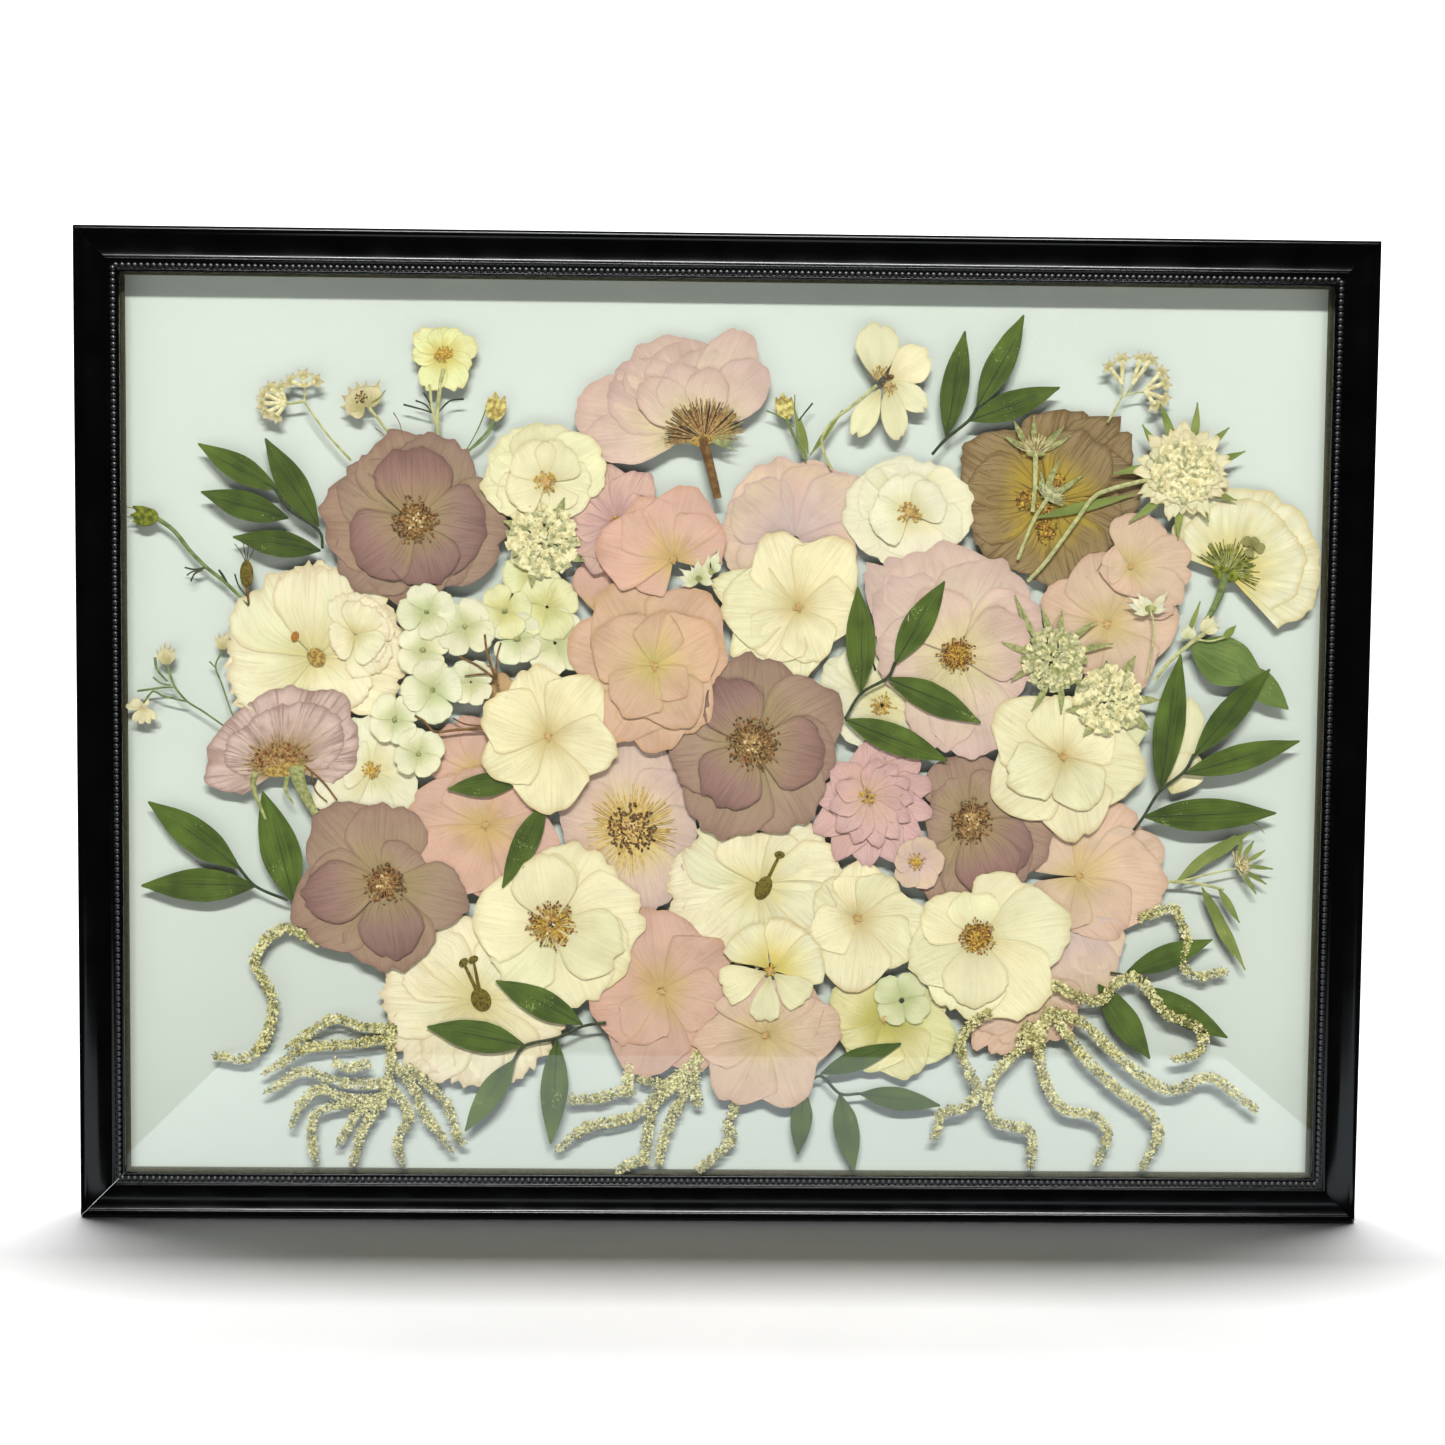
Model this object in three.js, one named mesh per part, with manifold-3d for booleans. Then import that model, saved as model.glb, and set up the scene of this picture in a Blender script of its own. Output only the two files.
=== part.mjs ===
// Pressed flower frame: a beaded black moulding round a sealed sandwich of
// glass, pressed flowers and glass, standing clear of a white backing board.
// Millimetres. X runs to the right seen from the front, Z is up, the front
// faces -Y and the back plane of the hanger is Y = 0.

import * as THREE from 'three';
import Module from 'manifold-3d';

const wasm = await Module();
wasm.setup();
const { CrossSection } = wasm;

// frame
const sightWidth = 602;
const sightHeight = 450;
const railFace = 22.4;
const rabbet = 4.1;
const railBack = -1.4;
const lipUnderside = -21.0;
const mitreGap = 0.2;
const hangerDrop = 11;

// sheets, front to back
const paneWidth = 609.6;
const paneHeight = 457.2;
const paneThick = 1.6;
const frontPaneFace = -20.7;
const backPaneFace = -14.9;
const spacerFace = -13.0;
const spacerThick = 1.8;
const boardFace = -10.9;
const boardThick = 3;
const stripGap = 0.3;

// pressed pieces lie in six layers between the panes, 0 nearest the viewer
const pressedThick = 0.35;
const layerPitch = 0.65;
const firstLayer = -18.8;

const outerWidth = sightWidth + 2 * railFace;
const outerHeight = sightHeight + 2 * railFace;
const centreZ = hangerDrop - outerHeight / 2;

const group = new THREE.Group();
group.name = 'pressed_flower_frame';

const material = (hex, rough = 0.8) => new THREE.MeshStandardMaterial({ color: hex, roughness: rough });
const black = material(0x0b0b0c, 0.3);
const spacerBlack = material(0x0d0d0e, 0.8);
const boardWhite = material(0xe6ebe4, 0.9);
const steel = material(0x9a9a96, 0.4);
const glass = new THREE.MeshStandardMaterial({ color: 0xf4f8f6, transparent: true, opacity: 0.2 });

function add(name, geometry, mat) {
  geometry.translate(0, 0, centreZ);
  const mesh = new THREE.Mesh(geometry, mat);
  mesh.name = name;
  group.add(mesh);
}

// The moulding, as distance in from the outer edge and depth: a crest at the
// outer edge, a long cove, a fillet, the bead row and the rounded sight lip.
const moulding = [
  [0, railBack], [0, -22.4], [0.7, -23.5], [1.6, -24], [2.8, -24],
  [4.2, -23.1], [6.4, -22.1], [9, -21.6], [12, -21.7], [15, -22.3],
  [15.6, -22.9], [16.5, -22.9], [17.1, -22.2], [17.9, -22.2],
  [18.4, -23], [19.3, -23.4], [20.2, -23], [20.6, -22.4],
  [21.1, -22.8], [21.8, -22.8], [railFace, -22.2],
  [railFace, lipUnderside], [railFace - rabbet, lipUnderside], [railFace - rabbet, railBack],
];

// One mitred rail lying along the top; the end faces are sheared to 45 degrees.
function rail(length) {
  const shape = new THREE.Shape(moulding.map(([inset, depth]) => new THREE.Vector2(inset, depth)));
  const g = new THREE.ExtrudeGeometry(shape, { depth: length, bevelEnabled: false });
  const p = g.attributes.position;
  for (let i = 0; i < p.count; i++) {
    const inset = p.getX(i);
    const depth = p.getY(i);
    const end = p.getZ(i) < length / 2 ? inset + mitreGap : length - inset - mitreGap;
    p.setXYZ(i, end - length / 2, depth, -inset);
  }
  return g;
}

function addRail(name, length, turn, offsetX, offsetZ) {
  const g = rail(length);
  g.rotateY(turn);
  g.translate(offsetX, 0, offsetZ);
  add(name, g, black);
}
addRail('rail_top', outerWidth, 0, 0, outerHeight / 2);
addRail('rail_bottom', outerWidth, Math.PI, 0, -outerHeight / 2);
addRail('rail_left', outerHeight, -Math.PI / 2, -outerWidth / 2, 0);
addRail('rail_right', outerHeight, Math.PI / 2, outerWidth / 2, 0);

function sheet(width, height, thick, face, x = 0, z = 0) {
  const g = new THREE.BoxGeometry(width, thick, height);
  g.translate(x, face + thick / 2, z);
  return g;
}
add('glass_front', sheet(paneWidth, paneHeight, paneThick, frontPaneFace), glass);
add('glass_back', sheet(paneWidth, paneHeight, paneThick, backPaneFace), glass);
add('backing_board', sheet(paneWidth, paneHeight, boardThick, boardFace), boardWhite);

// Black spacer strips round the edge keep the back pane off the board.
const stripX = (paneWidth - sightWidth) / 2;
const stripZ = (paneHeight - sightHeight) / 2;
const sideLength = sightHeight - 2 * stripGap;
for (const [name, side] of [['spacer_left', -1], ['spacer_right', 1]]) {
  const x = side * (sightWidth + stripX) / 2;
  add(name, sheet(stripX, sideLength, spacerThick, spacerFace, x, 0), spacerBlack);
}
for (const [name, side] of [['spacer_bottom', -1], ['spacer_top', 1]]) {
  const z = side * (sightHeight + stripZ) / 2;
  add(name, sheet(paneWidth, stripZ, spacerThick, spacerFace, 0, z), spacerBlack);
}

// Sawtooth hanger on the back of the top rail, teeth downward.
const hangerLength = 46;
const hangerTop = 3.5;
const hangerThick = 1.1;
const toothCount = 9;
const toothDepth = 1.6;
const hangerShape = new THREE.Shape();
hangerShape.moveTo(-hangerLength / 2, hangerTop);
hangerShape.lineTo(-hangerLength / 2, -3.4);
hangerShape.lineTo(-15, -3.4);
hangerShape.lineTo(-13.5, 0);
for (let i = 0; i < toothCount; i++) {
  const step = 27 / toothCount;
  hangerShape.lineTo(-13.5 + step * (i + 0.5), -toothDepth);
  hangerShape.lineTo(-13.5 + step * (i + 1), 0);
}
hangerShape.lineTo(15, -3.4);
hangerShape.lineTo(hangerLength / 2, -3.4);
hangerShape.lineTo(hangerLength / 2, hangerTop);
const hanger = new THREE.ExtrudeGeometry(hangerShape, { depth: hangerThick, bevelEnabled: false });
hanger.rotateX(Math.PI / 2);
hanger.translate(0, 0, -centreZ);
add('sawtooth_hanger', hanger, steel);

// ---- pressed pieces ----
// Places are in mm from the middle of the opening, seen from the front.

const turnedPoint = (origin, angle, along, across) => {
  const c = Math.cos(angle);
  const s = Math.sin(angle);
  return [origin[0] + along * c - across * s, origin[1] + along * s + across * c];
};

// A petal is narrow at its foot and widest two thirds of the way out.
const petalSteps = [0.12, 0.3, 0.5, 0.7, 0.86, 0.96];
function petalOutline(at, [degrees, length, width]) {
  const angle = THREE.MathUtils.degToRad(degrees);
  const half = petalSteps.map((t) => [t * length, (width / 2) * Math.sin(Math.PI * t ** 1.5) ** 0.62]);
  const right = half.map(([along, across]) => turnedPoint(at, angle, along, -across));
  const left = half.map(([along, across]) => turnedPoint(at, angle, along, across)).reverse();
  return [turnedPoint(at, angle, 0, 0), ...right, turnedPoint(at, angle, length, 0), ...left];
}

const disc = (at, radius, sides = 12) => {
  const corners = [...Array(sides).keys()];
  return corners.map((i) => turnedPoint(at, (2 * Math.PI * i) / sides, radius, 0));
};

// A ruscus leaf: a short stalk on the stem, then a pointed lens to its tip.
const stemWidth = 1.4;
const petiole = 2;
function leafOutline([tipX, tipZ, footX, footZ, width]) {
  const angle = Math.atan2(tipZ - footZ, tipX - footX);
  const length = Math.hypot(tipX - footX, tipZ - footZ);
  const half = [0.1, 0.25, 0.45, 0.65, 0.85].map((t) => [t * length, (width / 2) * Math.sin(Math.PI * t ** 0.9)]);
  half.unshift([-petiole, stemWidth / 2], [petiole, stemWidth / 2]);
  const foot = [footX, footZ];
  const right = half.map(([along, across]) => turnedPoint(foot, angle, along, -across));
  const left = half.map(([along, across]) => turnedPoint(foot, angle, along, across)).reverse();
  return [...right, [tipX, tipZ], ...left];
}

// A band of even width along a smooth line, for stems and amaranth tails.
function band(points, width, perSpan = 2) {
  const curve = new THREE.SplineCurve(points.map(([x, z]) => new THREE.Vector2(x, z)));
  const count = (points.length - 1) * perSpan;
  const right = [];
  const left = [];
  for (let i = 0; i <= count; i++) {
    const p = curve.getPoint(i / count);
    const d = curve.getTangent(i / count);
    const angle = Math.atan2(d.y, d.x);
    right.push(turnedPoint([p.x, p.y], angle, 0, -width / 2));
    left.push(turnedPoint([p.x, p.y], angle, 0, width / 2));
  }
  return [...right, ...left.reverse()];
}

function pressed(name, layer, outlines, hex, smoothing = 0.3) {
  const whole = CrossSection.union(outlines.map((o) => new CrossSection([o], 'NonZero')));
  const rings = whole.simplify(smoothing).toPolygons();
  const area = (ring) => THREE.ShapeUtils.area(ring.map(([x, z]) => ({ x, y: z })));
  const outer = rings.reduce((a, b) => (area(b) > area(a) ? b : a));
  const shape = new THREE.Shape(outer.map(([x, z]) => new THREE.Vector2(x, z)));
  const g = new THREE.ExtrudeGeometry(shape, { depth: pressedThick, bevelEnabled: false });
  g.rotateX(Math.PI / 2);
  g.translate(0, firstLayer + layer * layerPitch + pressedThick, 0);
  add(name, g, material(hex));
}

// Open flowers: petals as [direction in degrees, length, width].
function flower(name, layer, at, hex, petals, heart = 8) {
  const outlines = petals.map((p) => petalOutline(at, p));
  pressed(name, layer, [...outlines, disc(at, heart)], hex);
}

const mauve = 0xa0857c;
const tan = 0xa08a6c;
const lilac = 0xd2bdbc;
const pink = 0xdcb3a6;
const peach = 0xdcb59e;
const cream = 0xece3c0;
const white = 0xeeeedd;
const green = 0x3d5a22;
const amaranth = 0xb4ab72;

flower('rose_upper_left', 3, [-156, 104], mauve, [
  [106, 47, 46], [68, 46, 42], [148, 44, 38], [180, 48, 50], [222, 46, 44], [258, 42, 46], [300, 38, 44], [350, 47, 56],
]);
flower('rose_centre', 2, [14, -6], mauve, [
  [88, 46, 48], [28, 50, 46], [345, 44, 44], [300, 50, 48], [246, 50, 48], [188, 44, 44], [126, 36, 40],
]);
flower('rose_right', 4, [125, -44], mauve, [
  [105, 36, 42], [160, 24, 36], [250, 48, 38], [275, 48, 36], [300, 44, 40], [342, 44, 46], [45, 30, 34],
]);
flower('rose_lower_left', 2, [-171, -78], mauve, [
  [132, 50, 46], [88, 42, 42], [45, 24, 30], [207, 50, 48], [180, 40, 36], [275, 46, 48], [345, 44, 36],
]);
flower('rose_tan', 5, [162, 118], tan, [
  [78, 48, 48], [45, 54, 42], [10, 48, 44], [150, 52, 42], [178, 44, 48], [222, 44, 46], [285, 45, 48], [335, 40, 40],
]);
flower('rose_pink', 3, [116, 40], pink, [
  [104, 58, 62], [62, 52, 54], [22, 48, 50], [140, 52, 44], [180, 42, 40], [256, 52, 38], [284, 54, 44], [325, 40, 38],
]);
flower('rose_lilac', 5, [-47, -50], lilac, [
  [90, 48, 50], [40, 38, 40], [342, 34, 40], [165, 38, 40], [215, 40, 36], [282, 44, 44],
], 19);
flower('rose_pale_pink', 5, [34, 97], lilac, [
  [98, 42, 58], [60, 42, 44], [38, 46, 36], [168, 40, 48], [140, 38, 38], [225, 34, 36], [330, 32, 40],
]);
flower('rose_cream_top', 1, [-91, 124], cream, [
  [90, 30, 36], [140, 32, 34], [182, 32, 32], [210, 26, 28], [30, 33, 36], [345, 24, 30], [280, 17, 30],
]);
flower('rose_white_top', 4, [91, 111], white, [
  [82, 28, 50], [140, 28, 34], [175, 33, 42], [228, 30, 32], [12, 33, 40], [328, 30, 32], [275, 22, 34],
]);
flower('rose_white_hidden', 5, [79, 14], white, [
  [95, 38, 44], [150, 36, 38], [20, 30, 36], [345, 36, 34], [205, 26, 34], [285, 24, 36],
]);
flower('rose_cream_middle', 2, [-87, -98], cream, [
  [60, 44, 46], [100, 38, 36], [8, 48, 48], [325, 46, 44], [295, 46, 44], [228, 38, 40], [172, 40, 46],
]);
flower('rose_cream_right', 2, [129, -103], cream, [
  [48, 38, 42], [8, 48, 44], [310, 50, 44], [258, 42, 42], [205, 38, 36], [150, 32, 30], [100, 24, 28],
]);
flower('small_white_left', 4, [-178, -21], white, [
  [250, 22, 34], [318, 28, 28], [212, 34, 24], [95, 28, 34], [30, 24, 26], [160, 14, 26],
]);
flower('lisianthus_left', 4, [-206, 36], cream, [
  [92, 44, 54], [58, 46, 42], [145, 46, 44], [178, 42, 42], [208, 44, 42], [20, 44, 42], [345, 46, 40], [300, 30, 36],
]);
flower('lisianthus_middle', 4, [18, -77], cream, [
  [142, 42, 40], [190, 46, 50], [225, 44, 42], [258, 43, 44], [92, 27, 46], [35, 42, 40], [0, 42, 46], [318, 42, 44],
]);
flower('lisianthus_lower', 4, [-125, -137], cream, [
  [108, 44, 42], [140, 42, 40], [178, 48, 44], [222, 48, 46], [256, 44, 44], [292, 46, 46], [340, 46, 46], [50, 36, 36],
]);

flower('pink_upper', 0, [-27, 86], pink, [
  [166, 40, 42], [125, 36, 36], [78, 38, 40], [38, 30, 34], [206, 24, 28],
]);
flower('peach_double', 1, [-36, 33], peach, [
  [162, 46, 46], [122, 46, 44], [52, 46, 48], [14, 38, 40], [238, 44, 40], [272, 45, 40], [308, 40, 38],
]);
flower('pink_right_large', 4, [192, 56], pink, [
  [102, 38, 36], [155, 36, 34], [5, 37, 44], [292, 38, 40], [215, 34, 36],
]);
flower('pink_lower_right', 5, [180, -72], pink, [
  [122, 30, 36], [55, 44, 44], [352, 46, 50], [305, 38, 38], [240, 30, 36],
]);
flower('pink_left', 3, [-121, -48], pink, [
  [165, 40, 42], [102, 30, 38], [22, 30, 34], [332, 44, 40], [285, 41, 42], [232, 42, 46],
]);
flower('pink_low_left', 3, [-31, -132], pink, [
  [84, 44, 40], [4, 34, 36], [50, 30, 30], [196, 36, 32], [240, 42, 38], [302, 42, 42],
]);
flower('pink_low_right', 2, [22, -154], pink, [
  [92, 28, 48], [356, 40, 36], [291, 38, 38], [238, 40, 38], [188, 32, 26],
]);
flower('cream_top', 3, [36, 63], cream, [
  [110, 40, 36], [55, 42, 38], [178, 40, 44], [235, 32, 34], [355, 32, 34], [290, 30, 30],
]);
flower('cream_left', 0, [-89, -3], cream, [
  [104, 37, 36], [50, 38, 36], [345, 36, 34], [272, 40, 40], [208, 36, 34], [156, 36, 36],
]);
flower('cream_right', 2, [171, -11], cream, [
  [215, 42, 46], [282, 44, 42], [350, 42, 46], [145, 42, 42], [95, 32, 36], [40, 30, 36],
]);
flower('cream_low', 3, [68, -94], cream, [
  [140, 26, 32], [48, 28, 28], [356, 38, 30], [318, 34, 34], [264, 38, 40], [205, 26, 28],
]);
flower('lilac_small', 2, [-55, 104], lilac, [
  [100, 30, 26], [62, 30, 26], [140, 28, 26], [172, 26, 24], [205, 28, 24], [240, 28, 24], [20, 22, 24],
]);
flower('pink_dahlia', 3, [72, -32], lilac, [
  [90, 28, 20], [60, 30, 18], [35, 32, 18], [12, 34, 18], [345, 34, 18], [320, 36, 18], [295, 37, 20], [270, 36, 20],
  [245, 36, 20], [215, 32, 20], [180, 26, 20], [140, 24, 20],
]);
flower('yellow_five', 1, [24, -121], 0xe9df9f, [
  [130, 24, 22], [50, 26, 22], [18, 30, 24], [205, 26, 17], [262, 27, 15], [320, 24, 16],
], 4);
flower('green_cream', 5, [82, -146], 0xd9dba6, [
  [60, 22, 30], [20, 34, 34], [340, 40, 36], [300, 34, 34], [250, 28, 34], [200, 26, 30], [150, 30, 30],
]);

// Flowers pressed from the side, petals fanning up from a calyx on a stem.
function sideFlower(name, layer, at, hex, petals, stem, stemWidth, heart) {
  const outlines = petals.map((p) => petalOutline(at, p));
  pressed(name, layer, [...outlines, disc(at, heart), band(stem, stemWidth)], hex);
}
sideFlower('ranunculus_side', 3, [-16, 151], lilac, [
  [171, 61, 44], [186, 56, 28], [147, 50, 40], [120, 50, 46], [101, 46, 42], [80, 42, 34], [64, 55, 30], [44, 48, 28],
], [[-13, 147], [-9, 133], [-5, 117]], 5.5, 10);
sideFlower('carnation_side', 3, [-226, -18], lilac, [
  [205, 36, 30], [175, 37, 34], [131, 36, 36], [95, 43, 44], [60, 46, 42], [30, 46, 42], [358, 40, 40],
], [[-222, -22], [-214, -35], [-206, -45]], 8, 9);
sideFlower('fan_flower', 4, [252, 82], cream, [
  [150, 36, 34], [122, 42, 36], [92, 42, 38], [62, 46, 38], [34, 48, 38], [5, 47, 38], [335, 47, 34], [312, 46, 34],
], [[250, 80], [248, 70], [242, 58]], 5, 10);

// Scabious heads: a lacy disc with pointed sepals standing out round it.
function scabious(name, layer, at, hex, radius, sepals) {
  const outlines = sepals.map(([degrees, reach]) => petalOutline(at, [degrees, reach, 9]));
  pressed(name, layer, [...outlines, disc(at, radius, 20)], hex);
}
scabious('scabious_large', 1, [228, 133], 0xd8cda0, 24, [
  [108, 32], [72, 32], [45, 28], [15, 28], [325, 27], [300, 24], [265, 30], [232, 34], [175, 31], [140, 26],
]);
scabious('scabious_grey', 1, [165, 38], 0xb4b58c, 16, [
  [130, 36], [100, 24], [78, 20], [50, 26], [20, 28], [165, 24], [255, 26], [285, 25],
]);
scabious('scabious_cream_right', 0, [193, 18], 0xddd6a8, 17, [[60, 26], [100, 20], [0, 26], [325, 26], [200, 22], [240, 22]]);

// Ruscus sprays: leaves as [tip x, tip z, foot x, foot z, width] on a thin stem.
function spray(name, layer, leaves, stem) {
  pressed(name, layer, [...leaves.map(leafOutline), band(stem, stemWidth)], green, 0.1);
}
spray('ruscus_upper_left', 2, [
  [-265, 139, -225, 119, 16], [-232, 144, -205, 99, 18], [-263, 119, -218, 109, 16], [-247, 97, -203, 90, 14],
], [[-226, 120], [-218, 109], [-204, 99], [-202, 90]]);
spray('ruscus_top', 2, [
  [117, 202, 109, 149, 14], [149, 209, 124, 164, 14], [166, 174, 120, 157, 14],
], [[125, 165], [120, 157], [109, 148], [102, 140]]);
spray('ruscus_centre', 1, [
  [68, 74, 68, 21, 15], [108, 78, 85, 35, 15], [130, 8, 81, 28, 15], [113, -13, 60, 7, 15],
], [[85, 36], [81, 28], [68, 20], [60, 7]]);
spray('ruscus_right', 1, [
  [225, 30, 220, -28, 15], [273, 36, 237, -10, 14], [291, -2, 232, -19, 14], [280, -38, 212, -41, 17],
], [[237, -9], [232, -18], [220, -28], [212, -41], [207, -48]]);
spray('ruscus_left', 3, [
  [-290, -37, -244, -71, 17], [-231, -31, -221, -85, 17], [-294, -78, -236, -80, 17],
], [[-245, -70], [-236, -80], [-220, -87]]);
spray('ruscus_lower_left', 1, [
  [-115, -126, -71, -149, 15], [-150, -150, -100, -160, 16], [-131, -204, -105, -167, 13], [-86, -211, -84, -157, 14],
], [[-106, -168], [-100, -160], [-84, -156], [-71, -150], [-59, -148]]);
spray('ruscus_low_middle', 3, [
  [91, -157, 50, -174, 11], [112, -189, 70, -184, 12], [68, -224, 60, -184, 13], [39, -216, 42, -182, 11],
], [[42, -181], [50, -175], [60, -184], [70, -184]]);

// Amaranth: soft tails falling from a common top.
const tailWidth = 6.5;
function amaranthTails(name, layer, tails) {
  pressed(name, layer, tails.map((t) => band(t, tailWidth)), amaranth, 0.25);
}
amaranthTails('amaranth_left', 3, [
  [[-166, -152], [-182, -151], [-197, -147], [-210, -155], [-222, -163]],
  [[-168, -157], [-190, -160], [-210, -162], [-222, -169], [-234, -176]],
  [[-168, -152], [-168, -166], [-170, -180], [-173, -192]],
  [[-170, -180], [-190, -180], [-212, -174], [-223, -180], [-233, -186]],
  [[-172, -188], [-190, -188], [-203, -183], [-213, -190], [-219, -204]],
  [[-173, -190], [-195, -191], [-207, -197], [-208, -210], [-206, -224]],
  [[-172, -190], [-182, -203], [-188, -224]],
  [[-169, -180], [-159, -196], [-165, -210], [-161, -224]],
  [[-168, -168], [-157, -182], [-150, -197], [-136, -216]],
]);
amaranthTails('amaranth_middle', 4, [
  [[-10, -163], [-25, -178], [-45, -196], [-68, -202], [-85, -215]],
  [[-12, -164], [-22, -178], [-34, -190], [-38, -208], [-40, -222]],
  [[-12, -165], [-20, -185], [-29, -206], [-32, -223]],
  [[-10, -163], [-14, -178], [-12, -192]],
]);
amaranthTails('amaranth_right', 1, [
  [[160, -150], [152, -160], [140, -172], [135, -186], [140, -198], [157, -203], [158, -223]],
  [[166, -140], [161, -160], [165, -178], [174, -191], [188, -194], [197, -203], [191, -221]],
  [[166, -141], [185, -165], [202, -181], [215, -190], [223, -203], [214, -223]],
  [[166, -141], [182, -146], [203, -165], [222, -179], [234, -180], [248, -174], [264, -184], [277, -195]],
  [[166, -143], [160, -150], [161, -160]],
]);

export default group;
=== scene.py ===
import math
import random
import bpy
import bmesh
from mathutils import Vector, Matrix, Euler, noise


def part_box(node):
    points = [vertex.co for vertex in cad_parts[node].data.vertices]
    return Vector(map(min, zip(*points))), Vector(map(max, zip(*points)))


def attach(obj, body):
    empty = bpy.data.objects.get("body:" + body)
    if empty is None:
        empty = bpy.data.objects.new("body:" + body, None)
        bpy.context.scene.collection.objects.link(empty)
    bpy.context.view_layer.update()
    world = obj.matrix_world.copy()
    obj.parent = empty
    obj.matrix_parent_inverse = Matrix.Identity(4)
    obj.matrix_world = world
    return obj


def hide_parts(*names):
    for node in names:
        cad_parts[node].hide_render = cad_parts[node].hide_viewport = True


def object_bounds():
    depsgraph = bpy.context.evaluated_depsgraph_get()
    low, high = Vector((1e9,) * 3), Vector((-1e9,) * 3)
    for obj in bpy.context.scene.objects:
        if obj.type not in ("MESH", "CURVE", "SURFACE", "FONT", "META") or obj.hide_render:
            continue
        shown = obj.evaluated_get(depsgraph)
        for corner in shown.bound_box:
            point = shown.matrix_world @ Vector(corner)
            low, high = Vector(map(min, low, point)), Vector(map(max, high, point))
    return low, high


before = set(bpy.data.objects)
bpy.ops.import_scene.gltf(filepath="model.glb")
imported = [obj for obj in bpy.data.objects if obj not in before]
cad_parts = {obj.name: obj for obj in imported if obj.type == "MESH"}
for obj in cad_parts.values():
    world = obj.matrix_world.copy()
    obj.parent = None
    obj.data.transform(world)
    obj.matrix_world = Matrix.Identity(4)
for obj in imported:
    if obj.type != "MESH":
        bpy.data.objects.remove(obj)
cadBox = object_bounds()
random.seed(7)

mm = 0.001
paneLow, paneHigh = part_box("glass_front")
centreX = (paneLow[0] + paneHigh[0]) / 2
centreZ = (paneLow[2] + paneHigh[2]) / 2  # middle of the opening
sightWide, sightTall = 602, 450
railFace = 22.4
layerPitch = 0.65
frontLayer = -18.8  # front face of the layer nearest the viewer
goldenTurn = 2.39996


def layerFace(layer):
    return frontLayer + layer * layerPitch


# materials
def newMaterial(name):
    mat = bpy.data.materials.new(name)
    mat.use_nodes = True
    mat.node_tree.nodes.clear()
    return mat, mat.node_tree


def add(tree, kind, sockets=None, **settings):
    # one node: its settings, then a value or a link for each input named in sockets
    made = tree.nodes.new(kind)
    for key, value in settings.items():
        setattr(made, key, value)
    for key, value in (sockets or {}).items():
        if hasattr(value, "links"):
            tree.links.new(value, made.inputs[key])
        else:
            made.inputs[key].default_value = value
    return made


def srgb(r, g, b):
    def lin(c):
        c /= 255
        return c / 12.92 if c <= 0.04045 else ((c + 0.055) / 1.055) ** 2.4
    return (lin(r), lin(g), lin(b), 1)


def grey(v):
    return (v, v, v, 1)


def ramp(tree, source, *stops):
    made = add(tree, "ShaderNodeValToRGB", {0: source})
    band = made.color_ramp
    while len(band.elements) < len(stops):
        band.elements.new(0.5)
    for e, (place, colour) in zip(band.elements, stops):
        e.position = place
        e.color = colour
    return made.outputs[0]


def grain(tree, source, scale, detail=2, **more):
    return add(tree, "ShaderNodeTexNoise", {0: source, "Scale": scale, "Detail": detail, **more}).outputs[0]


def sums(tree, operation, *values):
    return add(tree, "ShaderNodeMath", dict(enumerate(values)), operation=operation).outputs[0]


def mixColour(tree, factor, a, b, blend="MIX"):
    sockets = {0: factor, 6: a, 7: b}
    mixed = add(tree, "ShaderNodeMix", sockets, data_type="RGBA", blend_type=blend, clamp_factor=True)
    return mixed.outputs[2]


def inSpace(tree):
    return add(tree, "ShaderNodeTexCoord").outputs["Object"]


def onPetal(tree):
    return add(tree, "ShaderNodeUVMap", uv_map="petal").outputs[0]


def stretched(tree, source, *scale):
    return add(tree, "ShaderNodeMapping", {0: source, "Scale": scale}).outputs[0]


def withToneAndShade(tree, colour):
    # colour times each point's tone, which carries painted shade towards the foot of petals and leaves
    toneAndShade = add(tree, "ShaderNodeAttribute", attribute_name="toneAndShade").outputs["Color"]
    return mixColour(tree, 1.0, colour, toneAndShade, "MULTIPLY")


def surface(tree, colour, height, bump, shine, through=0.0):
    # bump is its strength and distance; through is the share of light that passes
    relief = add(tree, "ShaderNodeBump", {"Strength": bump[0], "Distance": bump[1], "Height": height})
    sockets = {"Base Color": colour, "Normal": relief.outputs[0], **shine}
    shader = add(tree, "ShaderNodeBsdfPrincipled", sockets)
    if through:
        glow = add(tree, "ShaderNodeBsdfTranslucent", {0: colour})
        shader = add(tree, "ShaderNodeMixShader", {0: through, 1: shader.outputs[0], 2: glow.outputs[0]})
    add(tree, "ShaderNodeOutputMaterial", {0: shader.outputs[0]})


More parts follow.
